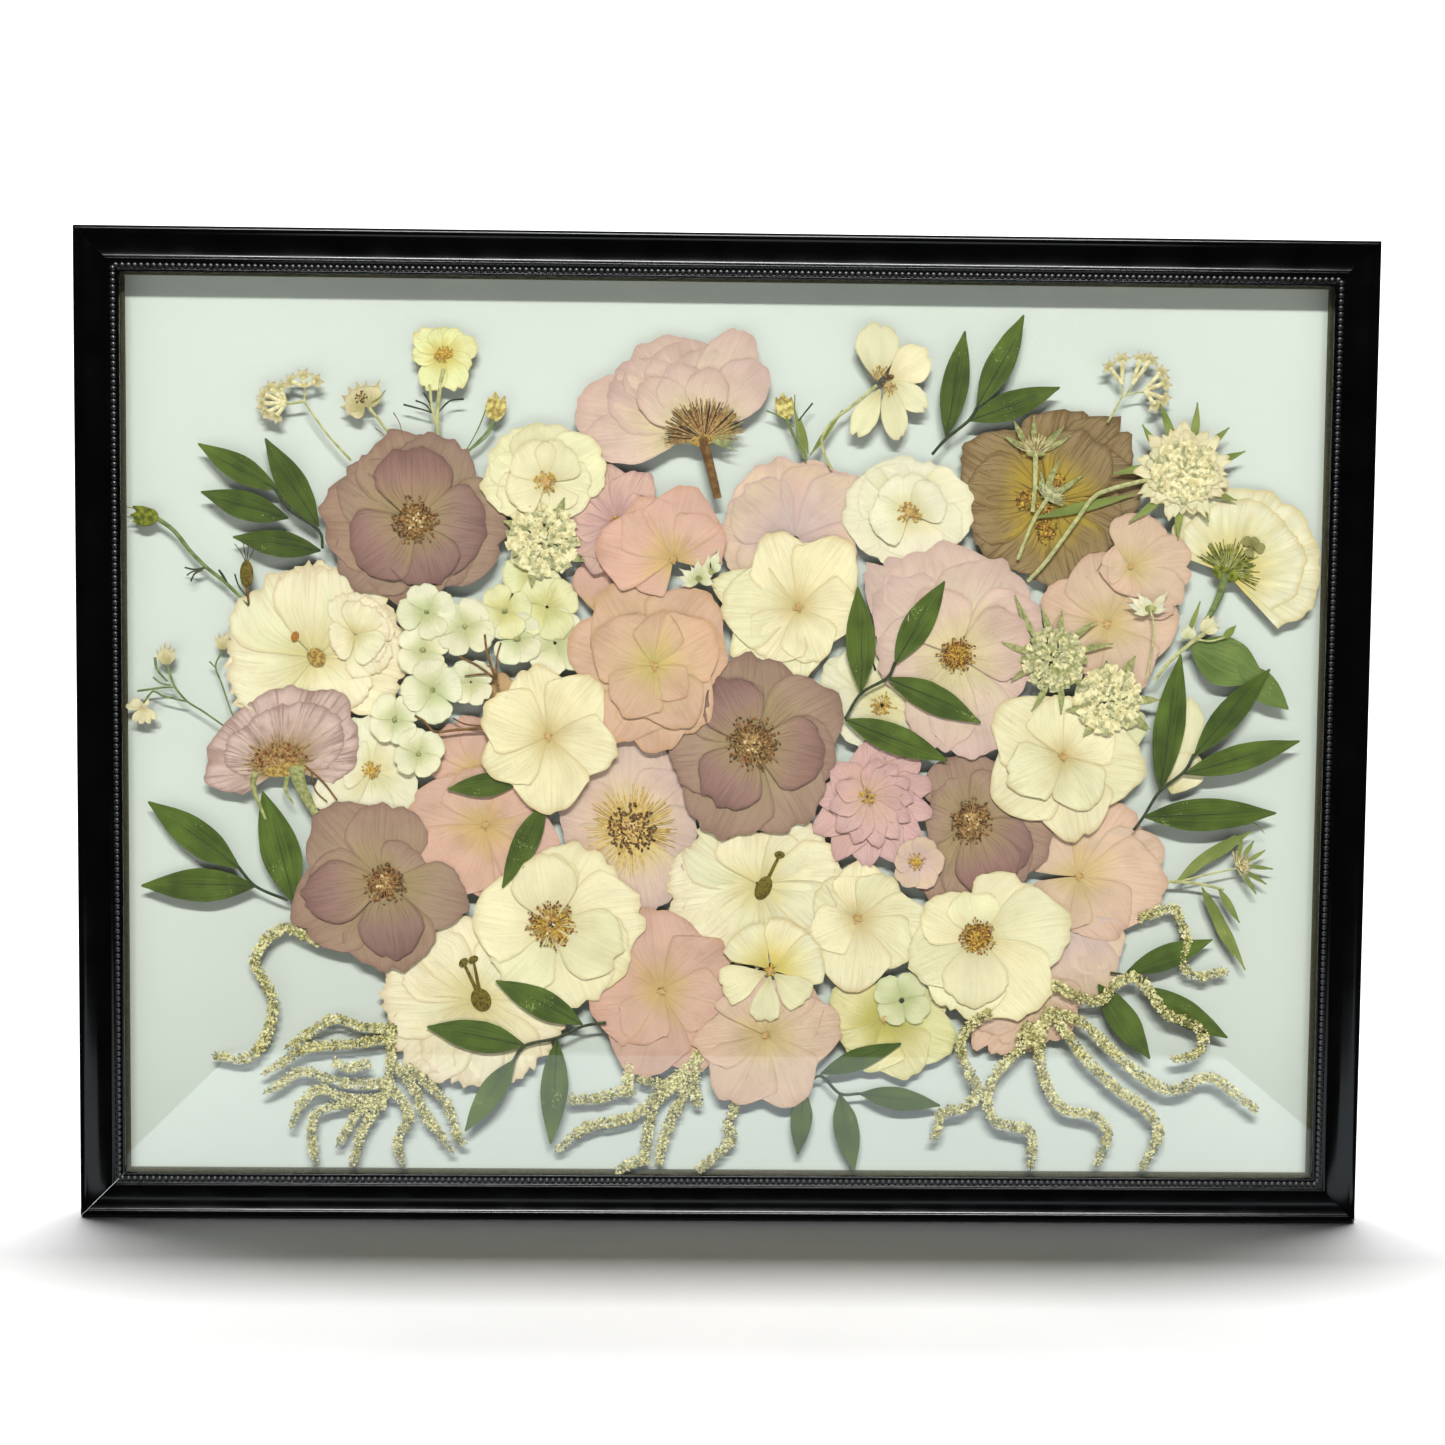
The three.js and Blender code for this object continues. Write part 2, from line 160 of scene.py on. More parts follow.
def petalMaterial(name, foot, body, rim, vein, veins=0.3, stain=0.18, through=0.14, footAt=0.22, bodyAt=0.6,
                  wrinkle=0.5, dark=(120, 92, 60)):
    mat, tree = newMaterial(name)
    uv, space = onPetal(tree), inSpace(tree)
    split = add(tree, "ShaderNodeSeparateXYZ", {0: uv})
    sideways, outward = split.outputs[0], split.outputs[1]
    stops = ((0.04, foot), (footAt, foot), (bodyAt, body), (1.0, rim))
    colour = ramp(tree, outward, *((place, srgb(*shade)) for place, shade in stops))
    # fine veins fan out from the foot because the map narrows there
    threads = grain(tree, stretched(tree, uv, 26, 1.5, 1), 1.0, 3.0, Distortion=0.4)
    veinShare = ramp(tree, threads, (0.5, grey(0)), (0.66, grey(min(1, veins * 1.4))))
    colour = mixColour(tree, veinShare, colour, srgb(*vein))
    # thin darker line along the rim: partly the browned edge of a pressed petal, partly painted shadow where
    # the edge lifts off what lies below
    fromMiddle = sums(tree, "ABSOLUTE", sums(tree, "MULTIPLY_ADD", sideways, 2, -1))
    toRim = sums(tree, "MAXIMUM", fromMiddle, outward)
    rimEdgeAndShadeShare = ramp(tree, toRim, (0.9, grey(0)), (0.96, grey(0.4)), (0.99, grey(0.8)))
    colour = mixColour(tree, rimEdgeAndShadeShare, colour, srgb(*vein))
    stainShare = ramp(tree, grain(tree, space, 70, 5), (0.48, grey(0)), (0.75, grey(stain)))
    colour = withToneAndShade(tree, mixColour(tree, stainShare, colour, srgb(*dark)))
    height = sums(tree, "ADD", grain(tree, space, 320, 4), threads)
    shine = {"Roughness": 0.72, "Specular IOR Level": 0.25, "Sheen Weight": 0.15}
    surface(tree, colour, height, (wrinkle, 0.0007), shine, through)
    return mat


def plainMaterial(name, light, deep, scale=300, rough=0.7, bumpDepth=0.0003, specular=0.3,
                  contrast=(0.35, 0.65), through=0.0, metal=0.0):
    mat, tree = newMaterial(name)
    height = grain(tree, inSpace(tree), scale, 4)
    colour = ramp(tree, height, (contrast[0], srgb(*deep)), (contrast[1], srgb(*light)))
    shine = {"Roughness": rough, "Specular IOR Level": specular, "Metallic": metal}
    surface(tree, colour, height, (0.4, bumpDepth), shine, through)
    return mat


def lacquerMaterial(name, light, deep, roughness, specular):
    mat, tree = newMaterial(name)
    space = inSpace(tree)
    wear = grain(tree, space, 40, 6)
    rough = ramp(tree, wear, (0.35, grey(roughness)), (0.7, grey(roughness + 0.08)))
    colour = ramp(tree, wear, (0.3, srgb(*deep)), (0.7, srgb(*light)))
    shine = {"Roughness": rough, "Specular IOR Level": specular}
    surface(tree, colour, grain(tree, space, 900, 3), (0.06, 0.0002), shine)
    return mat


def glassMaterial():
    mat, tree = newMaterial("pictureGlass")
    clear = add(tree, "ShaderNodeBsdfTransparent", {0: (0.99, 0.997, 0.99, 1)})
    mirror = add(tree, "ShaderNodeBsdfGlossy", {"Roughness": 0.02})
    # the same mirror share from both sides of the sheet: 3 % face on, nearly all of it at a glance
    edge = add(tree, "ShaderNodeLayerWeight", {0: 0.5}).outputs["Facing"]
    share = sums(tree, "MULTIPLY_ADD", sums(tree, "POWER", edge, 5), 0.9, 0.03)
    both = add(tree, "ShaderNodeMixShader", {0: share, 1: clear.outputs[0], 2: mirror.outputs[0]})
    add(tree, "ShaderNodeOutputMaterial", {0: both.outputs[0]})
    return mat


def boardMaterial():
    mat, tree = newMaterial("whiteBoard")
    space = inSpace(tree)
    white = ramp(tree, grain(tree, space, 5, 3), (0.3, srgb(221, 225, 217)), (0.7, srgb(229, 233, 225)))
    # a few faint scuffs
    scuff = grain(tree, stretched(tree, space, 95, 1, 34), 2.4, 8, Roughness=0.75)
    white = mixColour(tree, ramp(tree, scuff, (0.7, grey(0)), (0.76, grey(0.22))), white, srgb(164, 176, 166))
    # only the front is white: the sheet itself is brown hardboard
    depth = add(tree, "ShaderNodeSeparateXYZ", {0: space}).outputs[1]
    brown = ramp(tree, grain(tree, space, 260, 6), (0.35, srgb(96, 72, 50)), (0.65, srgb(126, 98, 70)))
    colour = mixColour(tree, sums(tree, "GREATER_THAN", depth, -0.0107), white, brown)
    shine = {"Roughness": 0.85, "Specular IOR Level": 0.2}
    surface(tree, colour, grain(tree, space, 700), (0.15, 0.0002), shine)
    return mat


def leafMaterial(name, light, deep, speck):
    mat, tree = newMaterial(name)
    space = inSpace(tree)
    threads = grain(tree, stretched(tree, onPetal(tree), 14, 1.2, 1), 1.3, 3)
    half = sums(tree, "MULTIPLY", grain(tree, space, 60), 0.5)
    cloudy = sums(tree, "MULTIPLY_ADD", threads, 0.5, half)
    green = ramp(tree, cloudy, (0.38, srgb(*deep)), (0.62, srgb(*light)))
    dots = sums(tree, "MULTIPLY", grain(tree, space, 900, 2), grain(tree, space, 55))
    speckled = mixColour(tree, ramp(tree, dots, (0.39, grey(0)), (0.44, grey(0.6))), green, srgb(*speck))
    shine = {"Roughness": 0.5, "Specular IOR Level": 0.35}
    surface(tree, withToneAndShade(tree, speckled), threads, (0.35, 0.0003), shine)
    return mat


petalLooks = {
    "mauveInner": ("roseMauve", (174, 152, 108), (156, 124, 111), (138, 104, 96), (122, 91, 84),
                   {"veins": 0.4, "through": 0.1, "footAt": 0.16}),
    "mauveOuter": ("roseTanMauve", (170, 150, 106), (169, 143, 118), (161, 132, 115), (140, 110, 94),
                   {"veins": 0.35, "through": 0.12}),
    "tan": ("roseTan", (180, 154, 58), (150, 127, 82), (154, 132, 98), (112, 88, 52),
            {"veins": 0.6, "stain": 0.32, "through": 0.12, "footAt": 0.34, "wrinkle": 0.9}),
    "lilac": ("roseLilac", (230, 210, 146), (221, 194, 173), (211, 184, 171), (197, 170, 160),
              {"footAt": 0.2}),
    "pinkRose": ("rosePink", (229, 216, 162), (221, 197, 177), (215, 185, 172), (201, 171, 158),
                 {"footAt": 0.16}),
    "palePink": ("rosePale", (219, 193, 184), (221, 193, 173), (227, 201, 167), (204, 174, 165), {}),
    "pink": ("hydrangeaPink", (222, 190, 126), (220, 182, 160), (216, 176, 160), (204, 160, 132),
             {"footAt": 0.12, "bodyAt": 0.42}),
    "pinkFaded": ("hydrangeaFaded", (222, 197, 136), (222, 195, 166), (219, 188, 166), (202, 166, 138),
                  {"footAt": 0.12, "bodyAt": 0.42}),
    "peach": ("hydrangeaPeach", (220, 199, 121), (218, 186, 149), (216, 178, 154), (200, 160, 119),
              {"footAt": 0.12, "bodyAt": 0.45}),
    "cream": ("petalCream", (222, 201, 139), (236, 227, 184), (237, 231, 193), (210, 191, 141),
              {"veins": 0.28, "footAt": 0.06, "bodyAt": 0.35, "dark": (186, 166, 112)}),
    "ivory": ("petalIvory", (227, 214, 154), (237, 229, 187), (239, 233, 194), (215, 202, 154),
              {"veins": 0.22, "footAt": 0.08, "bodyAt": 0.35, "dark": (195, 179, 122)}),
    "white": ("petalWhite", (232, 223, 171), (236, 230, 199), (238, 232, 204), (216, 212, 178),
              {"veins": 0.22, "dark": (201, 195, 148)}),
    "yellow": ("petalYellow", (227, 208, 114), (231, 223, 174), (235, 231, 205), (210, 192, 134),
               {"dark": (198, 179, 114)}),
    "parchment": ("lisianthusCream", (230, 218, 156), (237, 231, 192), (239, 231, 200), (212, 192, 150),
                  {"stain": 0.25, "footAt": 0.12, "bodyAt": 0.42, "dark": (214, 188, 138)}),
    "floret": ("floretWhiteGreen", (211, 213, 158), (234, 230, 198), (238, 234, 203), (205, 205, 162),
               {"veins": 0.25, "dark": (201, 201, 141)}),
    "dahlia": ("dahliaPink", (223, 188, 161), (217, 178, 165), (209, 172, 167), (189, 150, 145),
               {"veins": 0.4, "through": 0.12, "footAt": 0.15, "bodyAt": 0.5}),
    "lilacSmall": ("lilacSmall", (206, 167, 160), (216, 179, 166), (218, 184, 167), (181, 142, 137),
                   {"veins": 0.4, "through": 0.12}),
    "carnation": ("carnationPink", (180, 152, 106), (205, 177, 160), (209, 183, 174), (162, 132, 118),
                  {"veins": 0.7, "stain": 0.3, "through": 0.12, "footAt": 0.34, "wrinkle": 1.0}),
    "greenCream": ("greenCream", (200, 192, 100), (229, 221, 164), (233, 225, 174), (200, 198, 128),
                   {"veins": 0.35, "dark": (184, 182, 100)}),
    "beige": ("tubeFlowerBeige", (199, 191, 133), (223, 213, 168), (228, 219, 184), (197, 179, 131),
              {"veins": 0.4, "dark": (184, 163, 107)}),
    "lemon": ("lemonPetal", (232, 216, 122), (236, 236, 174), (238, 238, 185), (215, 200, 126),
              {"veins": 0.35, "dark": (213, 196, 126)}),
    "floretYellow": ("floretYellow", (219, 213, 142), (232, 229, 178), (234, 231, 185), (205, 198, 138),
                     {"dark": (201, 192, 123)}),
    "floretGreen": ("floretGreen", (207, 210, 152), (223, 223, 179), (225, 225, 180), (192, 198, 145),
                    {"veins": 0.25, "dark": (182, 190, 130)}),
    "tanBit": ("petalTanBit", (196, 160, 110), (204, 168, 122), (206, 172, 132), (168, 128, 84),
               {"veins": 0.35, "through": 0.12}),
    "spotGrey": ("petalGreySpot", (142, 137, 80), (156, 151, 93), (165, 161, 102), (114, 109, 62),
                 {"through": 0.1}),
}
plainLooks = {
    "budBrown": ("budBrown", (218, 206, 127), (150, 126, 62), {"scale": 420, "contrast": (0.4, 0.62)}),
    "budGreen": ("budGreen", (131, 135, 36), (69, 78, 19), {"scale": 420, "contrast": (0.4, 0.62)}),
    "threadTan": ("threadTan", (185, 155, 98), (122, 89, 48), {"scale": 600}),
    "threadBlack": ("threadBlack", (70, 54, 34), (34, 26, 18), {"scale": 600}),
    "stamenMass": ("stamenMass", (148, 105, 55), (57, 37, 21),
                   {"scale": 620, "contrast": (0.42, 0.62), "bumpDepth": 0.0005}),
    "carpel": ("carpelCream", (202, 168, 111), (173, 136, 79), {"scale": 700}),
    "stigma": ("stigmaRust", (180, 122, 50), (122, 76, 26), {"scale": 700}),
    "petalCore": ("coreCream", (228, 214, 166), (190, 168, 118), {"scale": 900}),
    "pistil": ("pistilOlive", (118, 104, 26), (70, 58, 12), {"scale": 800}),
    "ovary": ("ovaryTan", (184, 154, 84), (128, 100, 44), {"scale": 800, "contrast": (0.4, 0.6)}),
    "floretCream": ("scabiousCream", (236, 228, 182), (204, 190, 136),
                    {"scale": 500, "contrast": (0.4, 0.6), "through": 0.1}),
    "floretGrey": ("scabiousGrey", (196, 190, 146), (140, 140, 98), {"scale": 500, "contrast": (0.4, 0.6)}),
}
thinLooks = [  # looks that share their settings
    ({"scale": 500}, {
        "lemonThread": ("lemonThread", (218, 190, 117), (182, 147, 74)),
        "beigeThread": ("beigeThread", (200, 190, 142), (152, 138, 88)),
        "sepal": ("sepalGreen", (168, 168, 112), (120, 124, 72)),
    }),
    ({"scale": 400}, {
        "stemPale": ("stemPale", (192, 190, 136), (152, 152, 98)),
        "stem": ("stemGreen", (122, 136, 82), (88, 102, 58)),
        "stemDark": ("stemDark", (64, 74, 46), (44, 52, 32)),
        "stemBrown": ("stemBrown", (134, 100, 58), (94, 66, 34)),
    }),
    ({"scale": 900, "contrast": (0.42, 0.58)}, {
        "anther": ("antherBrown", (137, 97, 44), (71, 44, 20)),
        "antherCream": ("antherCream", (174, 137, 88), (124, 83, 42)),
        "antherRust": ("antherRust", (150, 88, 44), (90, 48, 24)),
        "antherGold": ("antherGold", (206, 170, 72), (150, 108, 38)),
        "antherDark": ("antherDark", (120, 92, 60), (58, 42, 28)),
    }),
    ({"scale": 620, "contrast": (0.4, 0.6), "bumpDepth": 0.0004}, {
        "grain": ("amaranthGrain", (214, 206, 146), (140, 132, 78)),
        # lighter and darker copies of the grain colour, given to tufts at random: partly the real spread of
        # grain colour, partly painted highlight and shade
        "grainLight": ("amaranthLight", (232, 226, 176), (184, 176, 120)),
        "grainDeep": ("amaranthDeep", (176, 168, 108), (120, 112, 62)),
    }),
]
looks = {
    "leaf": leafMaterial("ruscusLeaf", (88, 108, 34), (56, 72, 20), (158, 168, 98)),
    "paleLeaf": leafMaterial("paleLeaf", (142, 151, 78), (100, 117, 52), (177, 176, 103)),
    "foldLeaf": leafMaterial("foldedLeafGreen", (114, 134, 67), (84, 107, 48), (165, 169, 105)),
}
for look, (name, *colours, settings) in petalLooks.items():
    looks[look] = petalMaterial(name, *colours, **settings)
for look, (name, *colours, settings) in plainLooks.items():
    looks[look] = plainMaterial(name, *colours, **settings)
for settings, group in thinLooks:
    for look, (name, *colours) in group.items():
        looks[look] = plainMaterial(name, *colours, **settings)
print("materials ready")

# building plants, in mm from the middle of the opening
toFrame = Matrix.Translation((centreX, 0, centreZ)) @ Matrix.Scale(mm, 4)
nearest, deepest = -19.05, -15.03  # pressed pieces stay between the two panes
pressed = []


def stampMesh(name, make):
    bm = bmesh.new()
    make(bm)
    mesh = bpy.data.meshes.new(name)
    bm.to_mesh(mesh)
    bm.free()
    return mesh


def shapeRod(bm):  # from the origin one unit up
    bmesh.ops.create_cone(bm, cap_ends=True, segments=5, radius1=1, radius2=0.7, depth=1)
    bmesh.ops.translate(bm, verts=bm.verts, vec=(0, 0, 0.5))


def shapeFrill(bm):  # one small folded floret
    made = bmesh.ops.create_grid(bm, x_segments=2, y_segments=3, size=0.5)
    for v in made["verts"]:
        x, t = v.co.x, v.co.y + 0.5
        across, depth = x * (0.35 + 1.3 * t - 0.5 * t * t), -0.16 * math.cos(x * 5) - 0.12 * t
        v.co = Vector((across, depth, t - 0.12 * abs(x) * t))
    bmesh.ops.recalc_face_normals(bm, faces=bm.faces)
    bmesh.ops.solidify(bm, geom=bm.faces[:], thickness=0.05)


def shapePod(bm):
    bmesh.ops.create_icosphere(bm, subdivisions=1, radius=1)


def shapeDome(bm):
    bmesh.ops.create_uvsphere(bm, u_segments=20, v_segments=10, radius=1)


pod = stampMesh("podStamp", shapePod)
rod = stampMesh("rodStamp", shapeRod)
dome = stampMesh("domeStamp", shapeDome)
frill = stampMesh("frillStamp", shapeFrill)


def newPlant():
    bm = bmesh.new()
    bm.loops.layers.uv.new("petal")
    bm.verts.layers.float_color.new("toneAndShade")
    return {"bm": bm, "looks": [], "seed": random.uniform(0, 90)}


def lookNumber(plant, look):
    if look not in plant["looks"]:
        plant["looks"].append(look)
    return plant["looks"].index(look)


def stamp(plant, mesh, matrix, look):
    mesh.polygons.foreach_set("material_index", [lookNumber(plant, look)] * len(mesh.polygons))
    mesh.transform(matrix)
    plant["bm"].from_mesh(mesh)
    mesh.transform(matrix.inverted())


def ripple(*place):
    return noise.noise(Vector(place))


def between(low, value, high):
    return min(max(value, low), high)


def turned(x, y, z, angle):
    return Matrix.Translation((x, y, z)) @ Matrix.Rotation(angle, 4, "Y")


def along(at, turn, reach):  # the spot a reach away from `at`
    return at[0] + reach * math.cos(turn), at[1] + reach * math.sin(turn)


def bendGrid(plant, cols, rows, look, bend):
    # bend gives each point of a flat grid its place, its tone with painted shade, and its spot on the petal
    # map
    bm = plant["bm"]
    uv = bm.loops.layers.uv["petal"]
    toneAndShade = bm.verts.layers.float_color["toneAndShade"]
    made = bmesh.ops.create_grid(bm, x_segments=cols, y_segments=rows, size=0.5)
    number = lookNumber(plant, look)
    for v in made["verts"]:
        (x, y, z), colour, mapped = bend(v.co.x, v.co.y + 0.5)
        v.co = Vector((x, between(nearest, y, deepest), z))
        v[toneAndShade] = (*colour, 1)
        for loop in v.link_loops:
            loop[uv].uv = mapped
    for f in {f for v in made["verts"] for f in v.link_faces}:
        f.material_index = number
        f.smooth = True


def addBlade(plant, at, deg, length, outline, y, look, shade=1.0, cols=14, rows=18, start=0.04, end=1.0,
             rimPull=0.22, ruffle=0.05, crease=0.09, bow=0.0, frills=3.0, curl=0.16, tilt=0.14, notch=0.0):
    # one petal or leaf as a flat grid, foot at `at`, pointing along deg
    seed = random.uniform(0, 90)
    turn = math.radians(deg)
    forward = Vector((math.cos(turn), math.sin(turn)))
    side = Vector((math.sin(turn), -math.cos(turn)))
    warm, cool = random.uniform(-0.02, 0.035), random.uniform(-0.035, 0.02)
    shade *= random.uniform(0.93, 1.03)
    notch *= random.uniform(0.2, 1.0)
    dent = random.uniform(-0.25, 0.25)

    def bend(u, v):
        s, t = u * 2, start + v * (end - start)
        wobble = 1 + 0.06 * ripple(t * 4, 5 if s > 0 else -5, seed) + 0.03 * ripple(t * 13, s * 2, seed)
        half = outline(t) * wobble
        reach = length * t * (1 - rimPull * s * s * t ** 1.5)
        ruffled = ripple(s * frills, 0.3, seed) + 0.5 * ripple(s * frills * 3, 0.7, seed)
        reach *= 1 + ruffle * t ** 5 * ruffled
        reach *= 1 - notch * t ** 5 * math.exp(-((s - dent) / 0.16) ** 2)
        depth = crease * (1.7 * ripple(s * 4, t * 1.1, seed) + 0.8 * ripple(s * 1.3, t * 3, seed + 9))
        depth += tilt * s * min(1, 1.5 * t) - curl * (t ** 10 + abs(s) ** 8 * t)
        place = Vector(at) + forward * reach + side * (s * half + bow * length * t * t)
        # petals of one flower lie on each other
        depth += 0.2 * ripple(place.x * 0.08, place.y * 0.08, plant["seed"])
        # tone of this petal, darker towards the foot: painted shade under the petals lying on it, with random
        # patches of tone
        value = shade * (0.86 + 0.14 * min(1, t * 1.8)) * (1 + 0.07 * ripple(s * 2, t * 2, seed + 30))
        colour = (value * (1 + warm), value, value * (1 + cool))
        return (place.x, y + depth, place.y), colour, ((s + 1) / 2, t)
    bendGrid(plant, cols, rows, look, bend)


def addPetal(plant, at, petal, y, look, pointed=False, waist=1.5, **more):
    deg, length, width = petal[:3]

    def outline(t):
        if pointed:
            return max(0.3, width / 2 * math.sin(math.pi * t ** 0.9) ** 0.8)
        a = t * (1 - 0.22 * t ** 3)
        return width / 2 * math.sin(math.pi * a ** waist) ** 0.62
    addBlade(plant, at, deg, length, outline, y, look, **more)


def addLeaf(plant, leaf, y, look="leaf", bow=0.0, shade=1.0):
    tipX, tipZ, footX, footZ, width = leaf
    reach = Vector((tipX - footX, tipZ - footZ))

    def outline(t):
        return max(0.45, width / 2 * math.sin(math.pi * t ** 0.9))
    deg = math.degrees(math.atan2(reach.y, reach.x))
    addBlade(plant, (footX, footZ), deg, reach.length, outline, y, look, shade=shade, bow=bow, cols=6, rows=14,
             start=0.0, end=0.99, rimPull=0, ruffle=0, crease=0.06, curl=0.05, tilt=0.05)


fanSettings = {"inner": 0.1, "waves": 42, "relief": 0.1, "lace": 0.03, "cols": 110, "rows": 12}


def addFan(plant, at, turns, reaches, y, look):
    # many grown-together petals seen from the side: a grid bent around the foot
    inner, waves = fanSettings["inner"], fanSettings["waves"]
    seed = random.uniform(0, 90)

    def bend(u, t):
        s = u + 0.5
        turn = math.radians(turns[0] + (turns[1] - turns[0]) * s)
        first = min(int(s * (len(reaches) - 1)), len(reaches) - 2)
        blend = s * (len(reaches) - 1) - first
        blend = blend * blend * (3 - 2 * blend)
        reach = reaches[first] * (1 - blend) + reaches[first + 1] * blend
        reach *= 1 + fanSettings["lace"] * (1.4 * ripple(s * 22, 0.5, seed) + ripple(s * 70, 1.5, seed))
        folds = 1.5 * ripple(s * waves, t * 2.5, seed) + ripple(s * waves * 0.3, t * 5, seed + 5)
        depth = fanSettings["relief"] * (0.3 + t) * folds - 0.12 * t ** 8
        x, z = along(at, turn, reach * (inner + (1 - inner) * t))
        # darker towards the foot: painted shade where the petals crowd in; the ripple is random streaks of
        # tone
        value = (0.88 + 0.12 * t) * (1 + 0.16 * ripple(s * waves * 0.6, t * 3, seed + 30))
        mapped = (0.5 + 0.38 * math.sin(s * 11 + 2 * ripple(s * 6, 0, seed)), inner + (1 - inner) * t)
        return (x, y + depth, z), (value, value, value), mapped
    bendGrid(plant, fanSettings["cols"], fanSettings["rows"], look, bend)


def thicken(plant, thick):
    bm = plant["bm"]
    made = bmesh.ops.extrude_face_region(bm, geom=bm.faces[:])
    grown = [v for v in made["geom"] if isinstance(v, bmesh.types.BMVert)]
    bmesh.ops.translate(bm, verts=grown, vec=(0, thick, 0))
    bmesh.ops.recalc_face_normals(bm, faces=bm.faces)


def smoothLine(points, step=2.0):
    spots = [Vector(p) for p in points]
    spots = [spots[0] * 2 - spots[1], *spots, spots[-1] * 2 - spots[-2]]
    line = []
    for a, b, c, d in zip(spots, spots[1:], spots[2:], spots[3:]):
        count = max(2, round((c - b).length / step))
        for i in range(count):
            t = i / count
            bent = (2 * a - 5 * b + 4 * c - d) * t * t + (3 * b - a - 3 * c + d) * t ** 3
            line.append(0.5 * (2 * b + (c - a) * t + bent))
    line.append(spots[-2])
    return line


def addStem(plant, points, width, y, look, tip):
    curve = bpy.data.curves.new("stemLine", "CURVE")
    curve.dimensions = "3D"
    curve.bevel_depth = width / 2
    curve.bevel_resolution = 2
    curve.use_fill_caps = True
    line = smoothLine(points)
    spline = curve.splines.new("POLY")
    spline.points.add(len(line) - 1)
    for i, (point, place) in enumerate(zip(spline.points, line)):
        point.co = (place.x, 0, place.y, 1)
        point.radius = 1 + (tip - 1) * i / (len(line) - 1) + 0.08 * ripple(i * 0.4, width, 3)
    holder = bpy.data.objects.new("stemLine", curve)
    mesh = bpy.data.meshes.new_from_object(holder)
    for polygon in mesh.polygons:
        polygon.use_smooth = True
    stamp(plant, mesh, Matrix.Translation((0, y, 0)) @ Matrix.Diagonal((1, 0.5, 1, 1)), look)
    bpy.data.objects.remove(holder)
    bpy.data.meshes.remove(mesh)
    bpy.data.curves.remove(curve)


def addPod(plant, x, z, y, wide, tall, deg, look, thick=0.35, shape=pod):
    place = turned(x, y, z, -math.radians(deg)) @ Matrix.Diagonal((wide, thick, tall, 1))
    stamp(plant, shape, place, look)


def addRod(plant, at, y, turn, wide, thick, reach, look):
    place = turned(at[0], y, at[1], math.pi / 2 - turn) @ Matrix.Diagonal((wide, thick, reach, 1))
    stamp(plant, rod, place, look)


def addStamens(plant, at, y, radius, count, anther="anther", filament="carpel", inner=0.25, size=0.75,
               room=0.35):
    for i in range(count):
        turn = i * goldenTurn + random.uniform(-0.9, 0.9)
        reach = radius * (inner + (1 - inner) * math.sqrt((i + 0.5) / count)) * random.uniform(0.78, 1.1)
        near = max(y - random.uniform(0.1, room), nearest + 0.1)
        addRod(plant, along(at, turn, 0.25 * reach), near + 0.05, turn, 0.16, 0.08, reach * 0.75, filament)
        look = random.choice(anther) if isinstance(anther, list) else anther
        wide, tall = size * random.uniform(0.8, 1.2), size * random.uniform(0.5, 0.7)
        addPod(plant, *along(at, turn, reach), near, wide, tall, random.uniform(0, 180), look, 0.22)


def addFringe(plant, at, y, turns, reach, count, look):
    for i in range(count):
        turn = math.radians(turns[0] + (turns[1] - turns[0]) * (i + 0.5) / count + random.uniform(-4, 4))
        far = reach * random.uniform(0.6, 1.05)
        addRod(plant, at, max(y - random.uniform(0.05, 0.3), nearest + 0.1), turn, 0.28, 0.1, far, look)


def finishPlant(plant, settings, slot):
    bm = plant["bm"]
    name = settings.get("name") or settings["node"] + "_dressed"
    bmesh.ops.transform(bm, matrix=toFrame, verts=bm.verts)
    mesh = bpy.data.meshes.new(name)
    bm.to_mesh(mesh)
    bm.free()
    mesh.set_sharp_from_angle(angle=math.radians(50))
    for look in plant["looks"]:
        mesh.materials.append(looks[look])
    piece = bpy.data.objects.new(name, mesh)
    bpy.context.scene.collection.objects.link(piece)
    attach(piece, "root")
    if "node" in settings:
        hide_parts(settings["node"])
    pressed.append(name)


def makeFlower(flower):
    # petals from the back of the flower to the front, then the ring of stamens
    plant = newPlant()
    at, look, shape, step = flower["at"], flower["look"], flower.get("shape", {}), flower.get("step", 0.065)
    y = layerFace(flower["layer"]) + 0.48
    for petal in flower.get("petals", []):
        addPetal(plant, at, petal, y, petal[3] if len(petal) > 3 else look, **shape)
        y -= step
    if flower.get("inner"):
        y -= 0.4
    for petal in flower.get("inner", []):
        addPetal(plant, at, petal, y, flower.get("innerLook", look), shade=0.99, **{"curl": 0.3, **shape})
        y -= step * 1.6
    for foot, petals in flower.get("more", []):
        for petal in petals:
            addPetal(plant, foot, petal, y, look, **shape)
            y -= step
    for turns, reaches in flower.get("fans", []):
        addFan(plant, at, turns, reaches, y, look)
        y -= 0.12
    thicken(plant, 0.11)
    centre = flower.get("centre", {})
    ring = centre.get("stamens")
    if ring:
        # a dark disc under the stamens: partly the dense stamen mass, partly painted shade between the grains
        if "under" in centre:
            wide, tall = ring["radius"] * 0.72, ring["radius"] * 0.68
            addPod(plant, *at, y + 0.12, wide, tall, random.uniform(0, 90), centre["under"], 0.14, dome)
        addStamens(plant, at, y, **ring)
    if "core" in centre:
        addStamens(plant, at, y - 0.2, ring["radius"] * 0.42, centre["core"],
                   ["carpel", "petalCore", "antherCream"], "carpel", 0.0, 1.0, 0.1)
    if "disc" in centre:
        wide, discLook = centre["disc"]
        addPod(plant, *at, max(y - 0.15, nearest + 0.2), wide, wide, 0, discLook, 0.25, dome)
    if "extras" in flower:
        flower["extras"](plant, y)
    finishPlant(plant, flower, flower["slot"])


# moulding
moulding = {"beadInset": 19.35, "beadPitch": 3.1, "beadWide": 1.42, "beadDeep": 0.85, "beadFace": -22.1,
            "mitreGap": 0.1}
